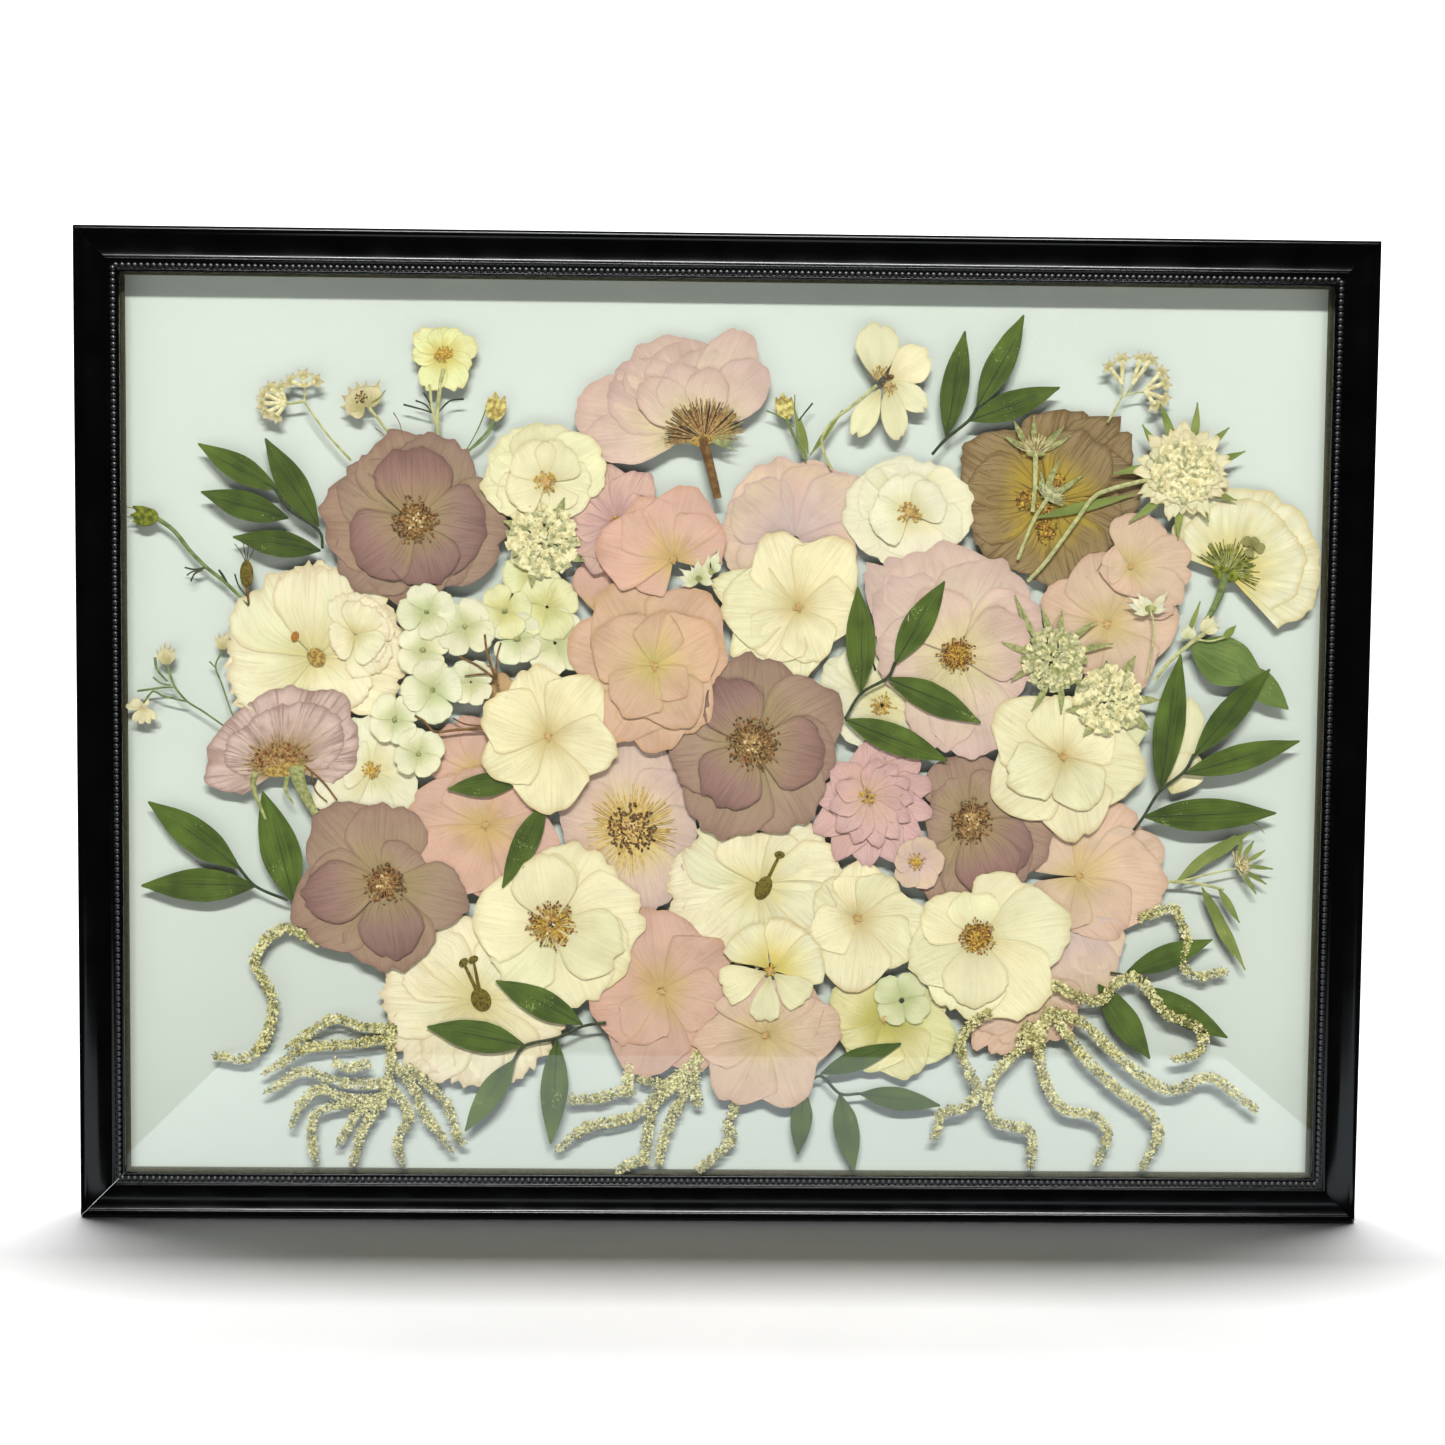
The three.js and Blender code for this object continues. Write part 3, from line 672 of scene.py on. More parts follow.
# the section in mm from the outer edge in, each list a smooth run between crisp corners
sectionRuns = [
    [(0, -1.4), (0, -22.2)],
    [(0, -22.2), (0.35, -23.2), (1.3, -23.85), (2.3, -24.0), (3.1, -23.85), (3.8, -23.3)],
    [(3.8, -23.3), (4.4, -22.95), (6.2, -22.2), (9.0, -21.7), (12.0, -21.75), (14.2, -22.1), (15.2, -22.5)],
    [(15.2, -22.5), (15.7, -22.9), (16.4, -22.95), (16.9, -22.5)],
    [(16.9, -22.5), (17.3, -22.15), (17.8, -22.15)],
    [(17.8, -22.15), (18.2, -22.0), (20.5, -22.0), (20.8, -22.4)],
    [(20.8, -22.4), (21.2, -22.8), (21.8, -22.8), (22.25, -22.45), (22.4, -22.0)],
    [(22.4, -22.0), (22.4, -21.0)],
    [(22.4, -21.0), (18.3, -21.0)],
    [(18.3, -21.0), (18.3, -1.4)],
    [(18.3, -1.4), (0, -1.4)],
]
section = []
for run in sectionRuns:
    section += [tuple(p) for p in smoothLine(run, 0.45)[:-1]] if len(run) > 2 else run[:1]


def shapeBead(bm):
    bmesh.ops.create_uvsphere(bm, u_segments=8, v_segments=6, radius=1)
    for f in bm.faces:
        f.smooth = True
        f.material_index = 1


bead = stampMesh("beadStamp", shapeBead)


def makeRail(node, direction):
    # direction 0 bottom, 90 right, 180 top, 270 left: built as the bottom rail, then turned
    bm = bmesh.new()
    size = (sightWide, sightTall) if direction % 180 == 0 else (sightTall, sightWide)
    half, low = (extent / 2 + railFace for extent in size)
    ends = []
    edges = []
    for sign in (-1, 1):
        side = half - moulding["mitreGap"]
        ring = [bm.verts.new((sign * (side - inset), y, -low + inset)) for inset, y in section]
        edges += [bm.edges.new(pair) for pair in zip(ring, ring[1:] + ring[:1])]
        ends.append(ring)
    bmesh.ops.bridge_loops(bm, edges=edges)
    for ring in ends:
        bm.faces.new(ring)
    bmesh.ops.recalc_face_normals(bm, faces=bm.faces)
    for f in bm.faces:
        f.smooth = True
    reach = half - moulding["beadInset"]
    count = round(2 * reach / moulding["beadPitch"])
    grow = Matrix.Diagonal((moulding["beadWide"], moulding["beadDeep"], moulding["beadWide"], 1))
    for i in range(count):
        x = -reach + (i + 0.5) * 2 * reach / count
        place = Matrix.Translation((x, moulding["beadFace"], -low + moulding["beadInset"])) @ grow
        bead.transform(place)
        bm.from_mesh(bead)
        bead.transform(place.inverted())
    facing = Matrix.Rotation(-math.radians(direction), 4, "Y")
    bmesh.ops.transform(bm, matrix=toFrame @ facing, verts=bm.verts)
    mesh = bpy.data.meshes.new("dressed_" + node)
    bm.to_mesh(mesh)
    bm.free()
    mesh.set_sharp_from_angle(angle=math.radians(38))
    for look in railLooks:
        mesh.materials.append(look)
    rail = bpy.data.objects.new("dressed_" + node, mesh)
    bpy.context.scene.collection.objects.link(rail)
    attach(rail, "root")
    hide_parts(node)


railLooks = [
    lacquerMaterial("blackLacquer", (3, 3, 3), (1, 1, 1), 0.15, 0.27),
    # the beads are a lighter grey than the rails: painted highlight, so each bead shows bright
    lacquerMaterial("beadLacquerPaintedHighlight", (22, 22, 23), (18, 18, 19), 0.32, 0.9),
]
for node, direction in (("rail_bottom", 0), ("rail_right", 90), ("rail_top", 180), ("rail_left", 270)):
    makeRail(node, direction)
bpy.data.meshes.remove(bead)
print("moulding ready")

# sheets kept from the frame
glass = glassMaterial()
spacer = plainMaterial("spacerGrey", (106, 101, 78), (88, 84, 62), scale=600, rough=0.6)
kept = {
    "glass_front": glass, "glass_back": glass, "backing_board": boardMaterial(),
    "spacer_left": spacer, "spacer_right": spacer, "spacer_top": spacer, "spacer_bottom": spacer,
    "sawtooth_hanger": plainMaterial("hangerSteel", (176, 174, 168), (140, 138, 132), scale=500, rough=0.35,
                                     metal=1.0),
}
for node, look in kept.items():
    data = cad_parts[node].data
    data.materials.clear()
    data.materials.append(look)
print("sheets ready")

# roses
soft = {"ruffle": 0.07, "crease": 0.1, "notch": 0.08, "rimPull": 0.27}
mauve = {"slot": "petal_mauve", "look": "mauveOuter", "innerLook": "mauveInner", "shape": soft}
mauveStamens = {"anther": ["anther", "anther", "antherDark", "antherDark", "antherRust", "antherCream"],
                "filament": "threadTan", "inner": 0.02, "size": 0.9}


def mauveCentre(radius, count):
    return {"stamens": {**mauveStamens, "radius": radius, "count": count}, "under": "stamenMass", "core": 16}


def goldCentre(radius, count, *disc):
    ring = {"anther": "antherGold", "filament": "carpel", "radius": radius, "count": count}
    return {"stamens": ring, "disc": disc}


def rustRing(radius, count, inner):
    return {"anther": ["anther", "antherRust", "antherGold"], "filament": "antherGold",
            "radius": radius, "count": count, "inner": inner}


def tanStamens(plant, y):
    anthers = ["anther", "antherGold", "antherRust"]
    rings = ((150, 118, 5.5, 44), (160, 103, 6, 50), (165, 128, 4.5, 30), (159, 114, 4, 22))
    for x, z, radius, count in rings:
        addStamens(plant, (x, z), y, radius, count, anthers, "antherGold", 0.05, 0.8)


mauveRoses = [
    {"node": "rose_upper_left", "layer": 3, "at": (-156, 104),
     "petals": [(106, 47, 46), (68, 46, 42), (148, 44, 38), (180, 48, 50), (222, 46, 44), (258, 42, 46),
                (300, 38, 44), (350, 47, 56)],
     "inner": [(92, 38, 40), (350, 36, 46), (215, 36, 40), (285, 33, 36)], "centre": mauveCentre(12, 170)},
    {"node": "rose_centre", "layer": 2, "at": (14, -6),
     "petals": [(88, 46, 48), (28, 50, 46), (345, 44, 44), (300, 50, 48), (246, 50, 48), (188, 44, 44),
                (126, 36, 40)],
     "inner": [(118, 38, 32), (348, 38, 38), (236, 36, 36)], "centre": mauveCentre(14, 230)},
    {"node": "rose_right", "layer": 4, "at": (125, -44),
     "petals": [(105, 36, 42), (160, 24, 36), (250, 48, 38), (275, 48, 36), (300, 44, 40), (342, 44, 46),
                (45, 30, 34)],
     "inner": [(322, 36, 32), (292, 40, 34)], "centre": mauveCentre(11.5, 160)},
    {"node": "rose_lower_left", "layer": 2, "at": (-171, -78),
     "petals": [(132, 50, 46), (88, 42, 42), (45, 24, 30), (207, 50, 48), (180, 40, 36), (275, 46, 48),
                (345, 44, 36)],
     "inner": [(190, 42, 32), (278, 38, 34)], "centre": mauveCentre(11, 150)},
]
for rose in mauveRoses:
    makeFlower({**mauve, **rose})
roses = [
    {"node": "rose_tan", "slot": "petal_tan", "layer": 5, "at": (162, 118), "look": "tan",
     "petals": [(78, 48, 48), (45, 54, 42), (10, 48, 44), (150, 52, 42), (178, 44, 48), (222, 44, 46),
                (285, 45, 48), (335, 40, 40)],
     "inner": [(55, 40, 40)], "extras": tanStamens},
    {"node": "rose_pink", "slot": "petal_pink", "layer": 3, "at": (116, 40), "look": "pinkRose",
     "petals": [(133, 63, 40), (104, 58, 62), (62, 52, 54), (22, 48, 50), (140, 52, 44), (180, 42, 40),
                (256, 52, 38), (284, 54, 44), (325, 40, 38)],
     "inner": [(115, 36, 34), (15, 38, 38)],
     "centre": {"stamens": {"anther": ["antherGold", "anther", "antherRust"], "filament": "antherGold",
                            "radius": 9.5, "count": 150, "inner": 0.05}, "under": "stamenMass"}},
    {"node": "rose_lilac", "slot": "petal_lilac", "layer": 5, "at": (-47, -50), "look": "lilac",
     "petals": [(90, 48, 50), (40, 38, 40), (342, 34, 40), (165, 38, 40), (215, 40, 36), (282, 44, 44)],
     "centre": {"stamens": {"anther": ["antherDark", "antherDark", "anther", "stamenMass"],
                            "filament": "lemonThread", "radius": 12.5, "count": 190, "size": 1.15,
                            "inner": 0.05}, "under": "stamenMass", "core": 26},
     "extras": lambda plant, y: addFringe(plant, (-47, -50), y + 0.1, (0, 360), 23, 170, "lemonThread")},
    {"node": "rose_pale_pink", "slot": "petal_lilac", "layer": 5, "at": (34, 97), "look": "palePink",
     "petals": [(98, 42, 58), (60, 42, 44), (38, 46, 36), (168, 40, 48), (140, 38, 38), (225, 34, 36),
                (330, 32, 40)]},
    {"node": "rose_cream_top", "layer": 1, "at": (-91, 124), "look": "ivory",
     "petals": [(90, 30, 36), (140, 32, 34), (182, 32, 32), (210, 26, 28), (30, 33, 36), (345, 24, 30),
                (280, 17, 30)],
     "inner": [(60, 22, 26), (120, 22, 26), (200, 20, 24)], "centre": goldCentre(6, 44, 2.2, "carpel")},
    {"node": "rose_white_top", "layer": 4, "at": (91, 111), "look": "white",
     "petals": [(82, 28, 50), (140, 28, 34), (175, 33, 42), (228, 30, 32), (12, 33, 40), (328, 30, 32),
                (275, 22, 34)],
     "inner": [(100, 20, 28), (30, 20, 24), (200, 20, 26)], "centre": goldCentre(6, 44, 2, "carpel")},
    {"node": "rose_white_hidden", "layer": 5, "at": (79, 14), "look": "white",
     "petals": [(95, 38, 44), (150, 36, 38), (20, 30, 36), (345, 36, 34), (205, 26, 34), (285, 24, 36)],
     "centre": {"stamens": {"anther": "antherGold", "filament": "antherGold", "radius": 6.5, "count": 34}}},
    {"node": "rose_cream_middle", "layer": 2, "at": (-87, -98), "look": "ivory",
     "petals": [(60, 44, 46), (100, 38, 36), (8, 48, 48), (325, 46, 44), (295, 46, 44), (228, 38, 40),
                (172, 40, 46)],
     "inner": [(100, 36, 34), (335, 40, 38)], "centre": {"stamens": rustRing(12.5, 150, 0.5), "core": 12}},
    {"node": "rose_cream_right", "layer": 2, "at": (129, -103), "look": "ivory",
     "petals": [(48, 38, 42), (8, 48, 44), (310, 50, 44), (258, 42, 42), (205, 38, 36), (150, 32, 30),
                (100, 24, 28)],
     "inner": [(268, 36, 34)], "centre": {"stamens": rustRing(9.5, 150, 0.05), "under": "stamenMass"}},
    {"node": "small_white_left", "layer": 4, "at": (-178, -21), "look": "white",
     "petals": [(250, 22, 34), (318, 28, 28), (212, 34, 24), (95, 28, 34), (30, 24, 26), (160, 14, 26)],
     "centre": goldCentre(5, 36, 2, "antherGold")},
]
for rose in roses:
    makeFlower({"slot": "petal_cream", "shape": soft, **rose})
print("roses ready")

# lisianthus
crepe = {"ruffle": 0.09, "crease": 0.13, "frills": 7, "curl": 0.2, "cols": 24, "rimPull": 0.16, "notch": 0.05}


def wayTo(start, end):
    return math.degrees(math.atan2(end[1] - start[1], end[0] - start[0]))


def addPistil(plant, base, tips, size, y, parts=("pistil", "pistil", "pistil"), thick=2.2):
    style, stigma, ovary = parts
    for tip in tips:
        middle = ((base[0] + tip[0]) / 2, (base[1] + tip[1]) / 2)
        addStem(plant, [base, middle, tip], thick, y - 0.1, style, 0.6)
        addPod(plant, *tip, y - 0.2, 1.9, 2.7, wayTo(base, tip) + 20, stigma, 0.25, dome)
    addPod(plant, *base, y - 0.2, *size, wayTo(base, tips[0]) - 90, ovary, 0.32, dome)


lisianthus = [
    {"node": "lisianthus_left", "at": (-206, 36),
     "petals": [(20, 46, 50), (345, 46, 44), (58, 46, 46), (208, 46, 46), (300, 32, 40), (175, 44, 60),
                (120, 46, 62), (88, 46, 44)],
     "more": [((-186, 47), [(300, 22, 26), (350, 17, 24), (100, 22, 24), (40, 20, 26), (200, 13, 20),
                            (70, 17, 22), (320, 15, 20)])],
     "extras": lambda plant, y: addPistil(plant, (-205.4, 35.8), [(-216, 46)], (4.2, 5), y,
                                          ("stemPale", "stigma", "ovary"), 1.2)},
    {"node": "lisianthus_middle", "at": (18, -77),
     "petals": [(142, 42, 40), (190, 46, 50), (225, 44, 42), (258, 43, 44), (92, 27, 46), (35, 42, 40),
                (0, 42, 46), (318, 42, 44)],
     "extras": lambda plant, y: addPistil(plant, (20, -79), [(28, -62)], (4, 6.4), y)},
    {"node": "lisianthus_lower", "at": (-125, -137),
     "petals": [(108, 44, 42), (140, 42, 40), (178, 48, 44), (222, 48, 46), (256, 44, 44), (292, 46, 46),
                (340, 46, 46), (50, 36, 36)],
     "extras": lambda plant, y: addPistil(plant, (-122.5, -137), [(-131.5, -118), (-126.5, -116.5)],
                                          (5, 6.2), y)},
]
for flower in lisianthus:
    makeFlower({"slot": "petal_cream", "look": "parchment", "shape": crepe, "layer": 4, **flower})
print("lisianthus ready")

# hydrangea and other open flowers
flatPetal = {"ruffle": 0.045, "crease": 0.07, "notch": 0.07, "rimPull": 0.38}
tinyEye = {"stamens": {"anther": "carpel", "filament": "carpel", "radius": 2.6, "count": 12, "size": 0.7},
           "disc": (1.6, "carpel")}
pinkFlowers = [
    {"node": "pink_upper", "layer": 0, "at": (-27, 86), "look": "pink",
     "petals": [(206, 24, 28), (38, 30, 34), (78, 38, 40), (125, 36, 36), (166, 40, 42)]},
    {"node": "peach_double", "layer": 1, "at": (-36, 33), "look": "peach",
     "petals": [(162, 46, 46), (122, 46, 44), (52, 46, 48), (14, 38, 40), (238, 44, 40), (272, 45, 40),
                (308, 40, 38)],
     "inner": [(150, 34, 40), (30, 36, 40), (82, 28, 26), (300, 36, 34), (235, 30, 32), (315, 22, 22)],
     "step": 0.045},
    {"node": "pink_right_large", "layer": 4, "at": (192, 56), "look": "pinkFaded",
     "petals": [(102, 38, 36), (155, 36, 34), (5, 37, 44), (292, 38, 40), (215, 34, 36)]},
    {"node": "pink_lower_right", "layer": 5, "at": (180, -72), "look": "pinkFaded",
     "petals": [(122, 30, 36), (20, 47, 36), (55, 44, 44), (352, 46, 50), (305, 38, 38), (240, 30, 36)]},
    {"node": "pink_left", "layer": 3, "at": (-121, -48), "look": "pink",
     "petals": [(165, 40, 42), (102, 30, 38), (22, 30, 34), (332, 44, 40), (285, 41, 42), (232, 42, 46)]},
    {"node": "pink_low_left", "layer": 3, "at": (-31, -132), "look": "pink",
     "petals": [(98, 44, 50), (36, 40, 38), (303, 46, 46), (254, 46, 44), (184, 38, 54), (346, 36, 34),
                (238, 31, 30)]},
    {"node": "pink_low_right", "layer": 2, "at": (22, -154), "look": "pinkFaded",
     "petals": [(188, 38, 30), (238, 41, 40), (293, 40, 40), (8, 40, 38), (38, 35, 32), (92, 30, 52)]},
]
for flower in pinkFlowers:
    makeFlower({"slot": "petal_pink", "shape": flatPetal, "centre": tinyEye, **flower})
openFlowers = [
    {"node": "cream_top", "layer": 3, "at": (36, 63), "look": "cream",
     "petals": [(165, 45, 30), (218, 42, 30), (272, 36, 30), (110, 40, 36), (55, 42, 38), (178, 40, 44),
                (235, 32, 34), (355, 32, 34), (290, 30, 30)]},
    {"node": "cream_left", "layer": 0, "at": (-89, -3), "look": "cream",
     "petals": [(104, 37, 36), (50, 38, 36), (345, 36, 34), (272, 40, 40), (208, 36, 34), (156, 36, 36)]},
    {"node": "cream_right", "layer": 2, "at": (171, -11), "look": "cream",
     "petals": [(25, 46, 32, "floretGreen"), (215, 42, 46), (282, 44, 42), (350, 42, 46), (145, 42, 42),
                (95, 32, 36), (40, 30, 36)],
     "inner": [(205, 32, 32), (300, 30, 30)]},
    {"node": "cream_low", "layer": 3, "at": (68, -94), "look": "cream",
     "petals": [(85, 30, 30), (140, 26, 32), (48, 28, 28), (356, 38, 30), (318, 34, 34), (264, 38, 40),
                (205, 26, 28)]},
    {"node": "lilac_small", "slot": "petal_lilac", "layer": 2, "at": (-55, 104), "look": "lilacSmall",
     "petals": [(100, 30, 26), (62, 30, 26), (140, 28, 26), (172, 26, 24), (205, 28, 24), (240, 28, 24),
                (20, 22, 24)],
     "centre": goldCentre(4, 26, 1.8, "antherGold")},
    {"node": "pink_dahlia", "slot": "petal_lilac", "layer": 3, "at": (72, -32), "look": "dahlia",
     "step": 0.035,
     "shape": {"ruffle": 0.06, "crease": 0.08, "rimPull": 0.34, "cols": 8, "rows": 10, "tilt": 0.18},
     "petals": [(90, 28, 20), (60, 30, 18), (35, 32, 18), (12, 34, 18), (345, 34, 18), (320, 36, 18),
                (295, 37, 20), (270, 36, 20), (245, 36, 20), (215, 32, 20), (180, 26, 20), (140, 24, 20)],
     "inner": [(75, 20, 13), (48, 22, 13), (20, 23, 13), (358, 24, 13), (332, 25, 13), (307, 26, 14),
               (283, 26, 14), (257, 25, 14), (230, 23, 14), (198, 20, 14), (160, 17, 13)],
     "centre": {"stamens": {"anther": "antherGold", "filament": "carpel", "radius": 4.5, "count": 40,
                            "size": 0.7}}},
    {"node": "yellow_five", "layer": 1, "at": (24, -121), "look": "yellow",
     "shape": dict(flatPetal, waist=2.2, rimPull=0.12),
     "petals": [(130, 26, 25), (66, 27, 24), (16, 28, 26), (200, 27, 20, "ivory"), (262, 26, 15, "ivory"),
                (320, 24, 18, "ivory")],
     "centre": goldCentre(3, 18, 1.5, "carpel")},
    {"node": "green_cream", "layer": 5, "at": (82, -146), "look": "greenCream",
     "petals": [(60, 22, 30), (20, 34, 34), (340, 40, 36), (300, 34, 34), (250, 28, 34), (200, 26, 30),
                (150, 30, 30)]},
]
for flower in openFlowers:
    makeFlower({"slot": "petal_cream", "shape": flatPetal, "centre": tinyEye, **flower})
print("open flowers ready")

# flowers pressed from the side
ranunculusFringes = [
    ((5, 190), 21, 170, "threadTan"), ((10, 185), 17, 90, "antherCream"), ((20, 180), 20, 80, "threadBlack"),
    ((-20, 40), 18, 26, "sepal"), ((-10, 200), 9, 60, "sepal"),
]


def ranunculusBase(plant, y):
    for turns, reach, count, look in ranunculusFringes:
        addFringe(plant, (-12, 146), y, turns, reach, count, look)
    addStem(plant, [(-13, 147), (-9, 133), (-5, 117)], 5, y - 0.1, "stemBrown", 0.8)
    addPod(plant, -13, 146, y - 0.2, 6.5, 3.2, 10, "ovary", 0.3, dome)


carnationStems = [
    ([(-216, -19), (-213, -30), (-206, -43)], 8, 0.1, "sepal", 0.5),
    ([(-236, -22), (-237, -30), (-231, -46)], 3.6, 0.1, "sepal", 0.3),
    ([(-220, -24), (-221, -31), (-217, -38)], 2.6, 0.1, "sepal", 0.3),
    ([(-211, -19), (-202, -27), (-195, -36)], 1.2, 0.15, "stemBrown", 0.7),
    ([(-208, -22), (-206, -31), (-200, -37)], 0.9, 0.15, "stemBrown", 0.7),
]


def carnationBase(plant, y):
    addFringe(plant, (-224, -20), y, (10, 195), 19, 90, "threadTan")
    bits = ("anther", "antherCream", "antherCream", "antherRust")
    for i in range(110):
        turn, reach = math.radians(random.uniform(15, 190)), random.uniform(4, 15)
        x, z = -223 + reach * math.cos(turn), -18 + 0.7 * reach * math.sin(turn)
        near, wide, tall = y - random.uniform(0.1, 0.4), random.uniform(0.5, 1.2), random.uniform(0.4, 0.9)
        deg = random.uniform(0, 180)
        addPod(plant, x, z, near, wide, tall, deg, random.choice(bits), 0.3)
    for points, width, lift, look, tip in carnationStems:
        addStem(plant, points, width, y - lift, look, tip)
    addPod(plant, -221, -21, y - 0.25, 11, 3.4, 8, "ovary", 0.3, dome)


def fanBase(plant, y):
    addFringe(plant, (252, 83), y, (-30, 155), 17, 90, "budGreen")
    addFringe(plant, (252, 83), y, (-20, 150), 13, 60, "sepal")
    addStem(plant, [(251, 82), (248, 70), (242, 58)], 4.6, y - 0.1, "stem", 0.6)
    addPod(plant, 251, 82, y - 0.2, 7, 4, -20, "budGreen", 0.3, dome)


sideFlowers = [
    {"node": "ranunculus_side", "slot": "petal_lilac", "layer": 3, "at": (-16, 151), "look": "pinkRose",
     "shape": {"ruffle": 0.05, "crease": 0.12},
     "petals": [(101, 46, 42), (120, 50, 46), (80, 42, 34), (64, 55, 30), (147, 50, 40), (44, 48, 28),
                (171, 61, 44), (186, 56, 28)],
     "inner": [(110, 34, 26), (75, 32, 22), (140, 36, 24)], "extras": ranunculusBase},
    {"node": "carnation_side", "slot": "petal_lilac", "layer": 3, "at": (-222, -20), "look": "carnation",
     "fans": [((214, -17), (25, 39, 39, 37, 36, 40.5, 42, 48, 42, 37, 26)),
              ((196, 0), (20, 30, 31, 28, 30, 32, 36, 38, 33, 22))],
     "extras": carnationBase},
    {"node": "fan_flower", "slot": "petal_cream", "layer": 4, "at": (252, 82), "look": "yellow",
     "fans": [((-46, 160), (38, 46, 47, 48, 46, 43, 42, 38, 30)),
              ((-38, 150), (30, 37, 41, 39, 40, 36, 34, 28))],
     "extras": fanBase},
]
for flower in sideFlowers:
    makeFlower(flower)
print("side flowers ready")

# scabious
def makeScabious(head):
    plant = newPlant()
    at, radius, count = head["at"], head["radius"], 130
    y = layerFace(head["layer"]) + 0.4
    for deg, reach in head["sepals"]:
        turn = math.radians(deg)
        leaf = (*along(at, turn, reach), *along(at, turn, radius * 0.6), head.get("sepalWide", 4.5))
        addLeaf(plant, leaf, y, head.get("sepalLook", "sepal"), random.uniform(-0.22, 0.22))
        y -= 0.01
    for petal in head.get("petals", []):
        addPetal(plant, at, petal, y, "cream", cols=6, rows=8, ruffle=0.12, crease=0.12)
        y -= 0.02
    thicken(plant, 0.1)
    for i in range(count):
        turn = i * goldenTurn
        reach = radius * 0.9 * math.sqrt((i + 0.5) / count)
        size = head["floret"] * (0.75 + 0.5 * reach / radius) * random.uniform(0.85, 1.15)
        lookOut = turn + random.uniform(-0.7, 0.7)
        x, z = along(at, turn, reach - size * 0.4)
        depth = max(y - 0.1 - 0.25 * (1 - reach / radius), nearest + 0.1)
        place = turned(x, depth, z, math.pi / 2 - lookOut) @ Matrix.Diagonal((size * 0.8, 1.0, size, 1))
        stamp(plant, frill, place, head["looks"][i % len(head["looks"])])
    for i in range(head["eyes"]):
        x, z = along(at, i * goldenTurn, radius * 0.62 * math.sqrt((i + 0.5) / head["eyes"]))
        addPod(plant, x, z, max(y - 0.35, nearest + 0.15), 0.7, 0.7, 0, head["eyeLook"], 0.3)
    if "stem" in head:
        addStem(plant, head["stem"], 2.2, layerFace(head["layer"]) + 0.5, "stemPale", 0.9)
    finishPlant(plant, head, "seed_head")


rimPetals = [(15 * i, 22.5 + 3 * math.sin(i * 2.3), 8.5) for i in range(24)]
rimPetals += [(8 + 20 * i, 18.5 + 2 * math.sin(i * 1.9), 8) for i in range(18)]
creamHead = ["floretCream", "floretCream", "floretGrey"]
heads = [
    {"node": "scabious_large", "layer": 1, "at": (228, 133), "radius": 15, "floret": 4.4, "eyes": 46,
     "sepals": [(108, 36), (72, 35), (45, 32), (15, 33), (325, 31), (300, 29), (265, 34), (232, 37),
                (175, 35), (140, 31)],
     "petals": rimPetals, "sepalLook": "paleLeaf", "looks": creamHead, "eyeLook": "floretGrey",
     "stem": [(212, 129), (193, 124), (183, 119), (173, 105), (160, 87), (151, 77)]},
    {"node": "scabious_grey", "layer": 1, "at": (165, 38), "radius": 16, "floret": 4.0, "eyes": 40,
     "sepals": [(130, 38), (100, 27), (78, 25), (50, 29), (20, 31), (165, 28), (200, 24), (255, 28),
                (285, 28), (320, 24)],
     "sepalWide": 3.4, "looks": ["floretGrey", "floretGrey", "floretCream", "sepal"], "eyeLook": "sepal"},
    {"node": "scabious_cream_right", "layer": 0, "at": (193, 18), "radius": 17, "floret": 4.4, "eyes": 30,
     "sepals": [(60, 26), (100, 20), (0, 26), (325, 26), (200, 22), (240, 22)], "looks": creamHead,
     "eyeLook": "sepal"},
    {"name": "scabious_cream_left", "layer": 0, "at": (-92, 95), "radius": 18, "floret": 4.4, "eyes": 30,
     "sepals": [(60, 24), (150, 22), (250, 24), (330, 23)], "looks": creamHead, "eyeLook": "sepal"},
]
for head in heads:
    makeScabious(head)
print("scabious ready")

# ruscus
def makeSpray(spray):
    plant = newPlant()
    y = layerFace(spray["layer"]) + 0.3
    for i, leaf in enumerate(spray["leaves"]):
        bow, shade = random.uniform(-0.05, 0.05), random.uniform(0.85, 1.12)
        addLeaf(plant, leaf, y - 0.05 * i, bow=bow, shade=shade)
    thicken(plant, 0.12)
    for i, (tipX, tipZ, footX, footZ, width) in enumerate(spray["leaves"]):
        rib = [(footX + (tipX - footX) * part, footZ + (tipZ - footZ) * part) for part in (0, 0.3, 0.75)]
        addStem(plant, rib, 0.7, y - 0.05 * i - 0.04, "stemDark", 0.3)
    addStem(plant, spray["stem"], 1.7, y - 0.05, "stemDark", 0.9)
    finishPlant(plant, spray, "leaf")


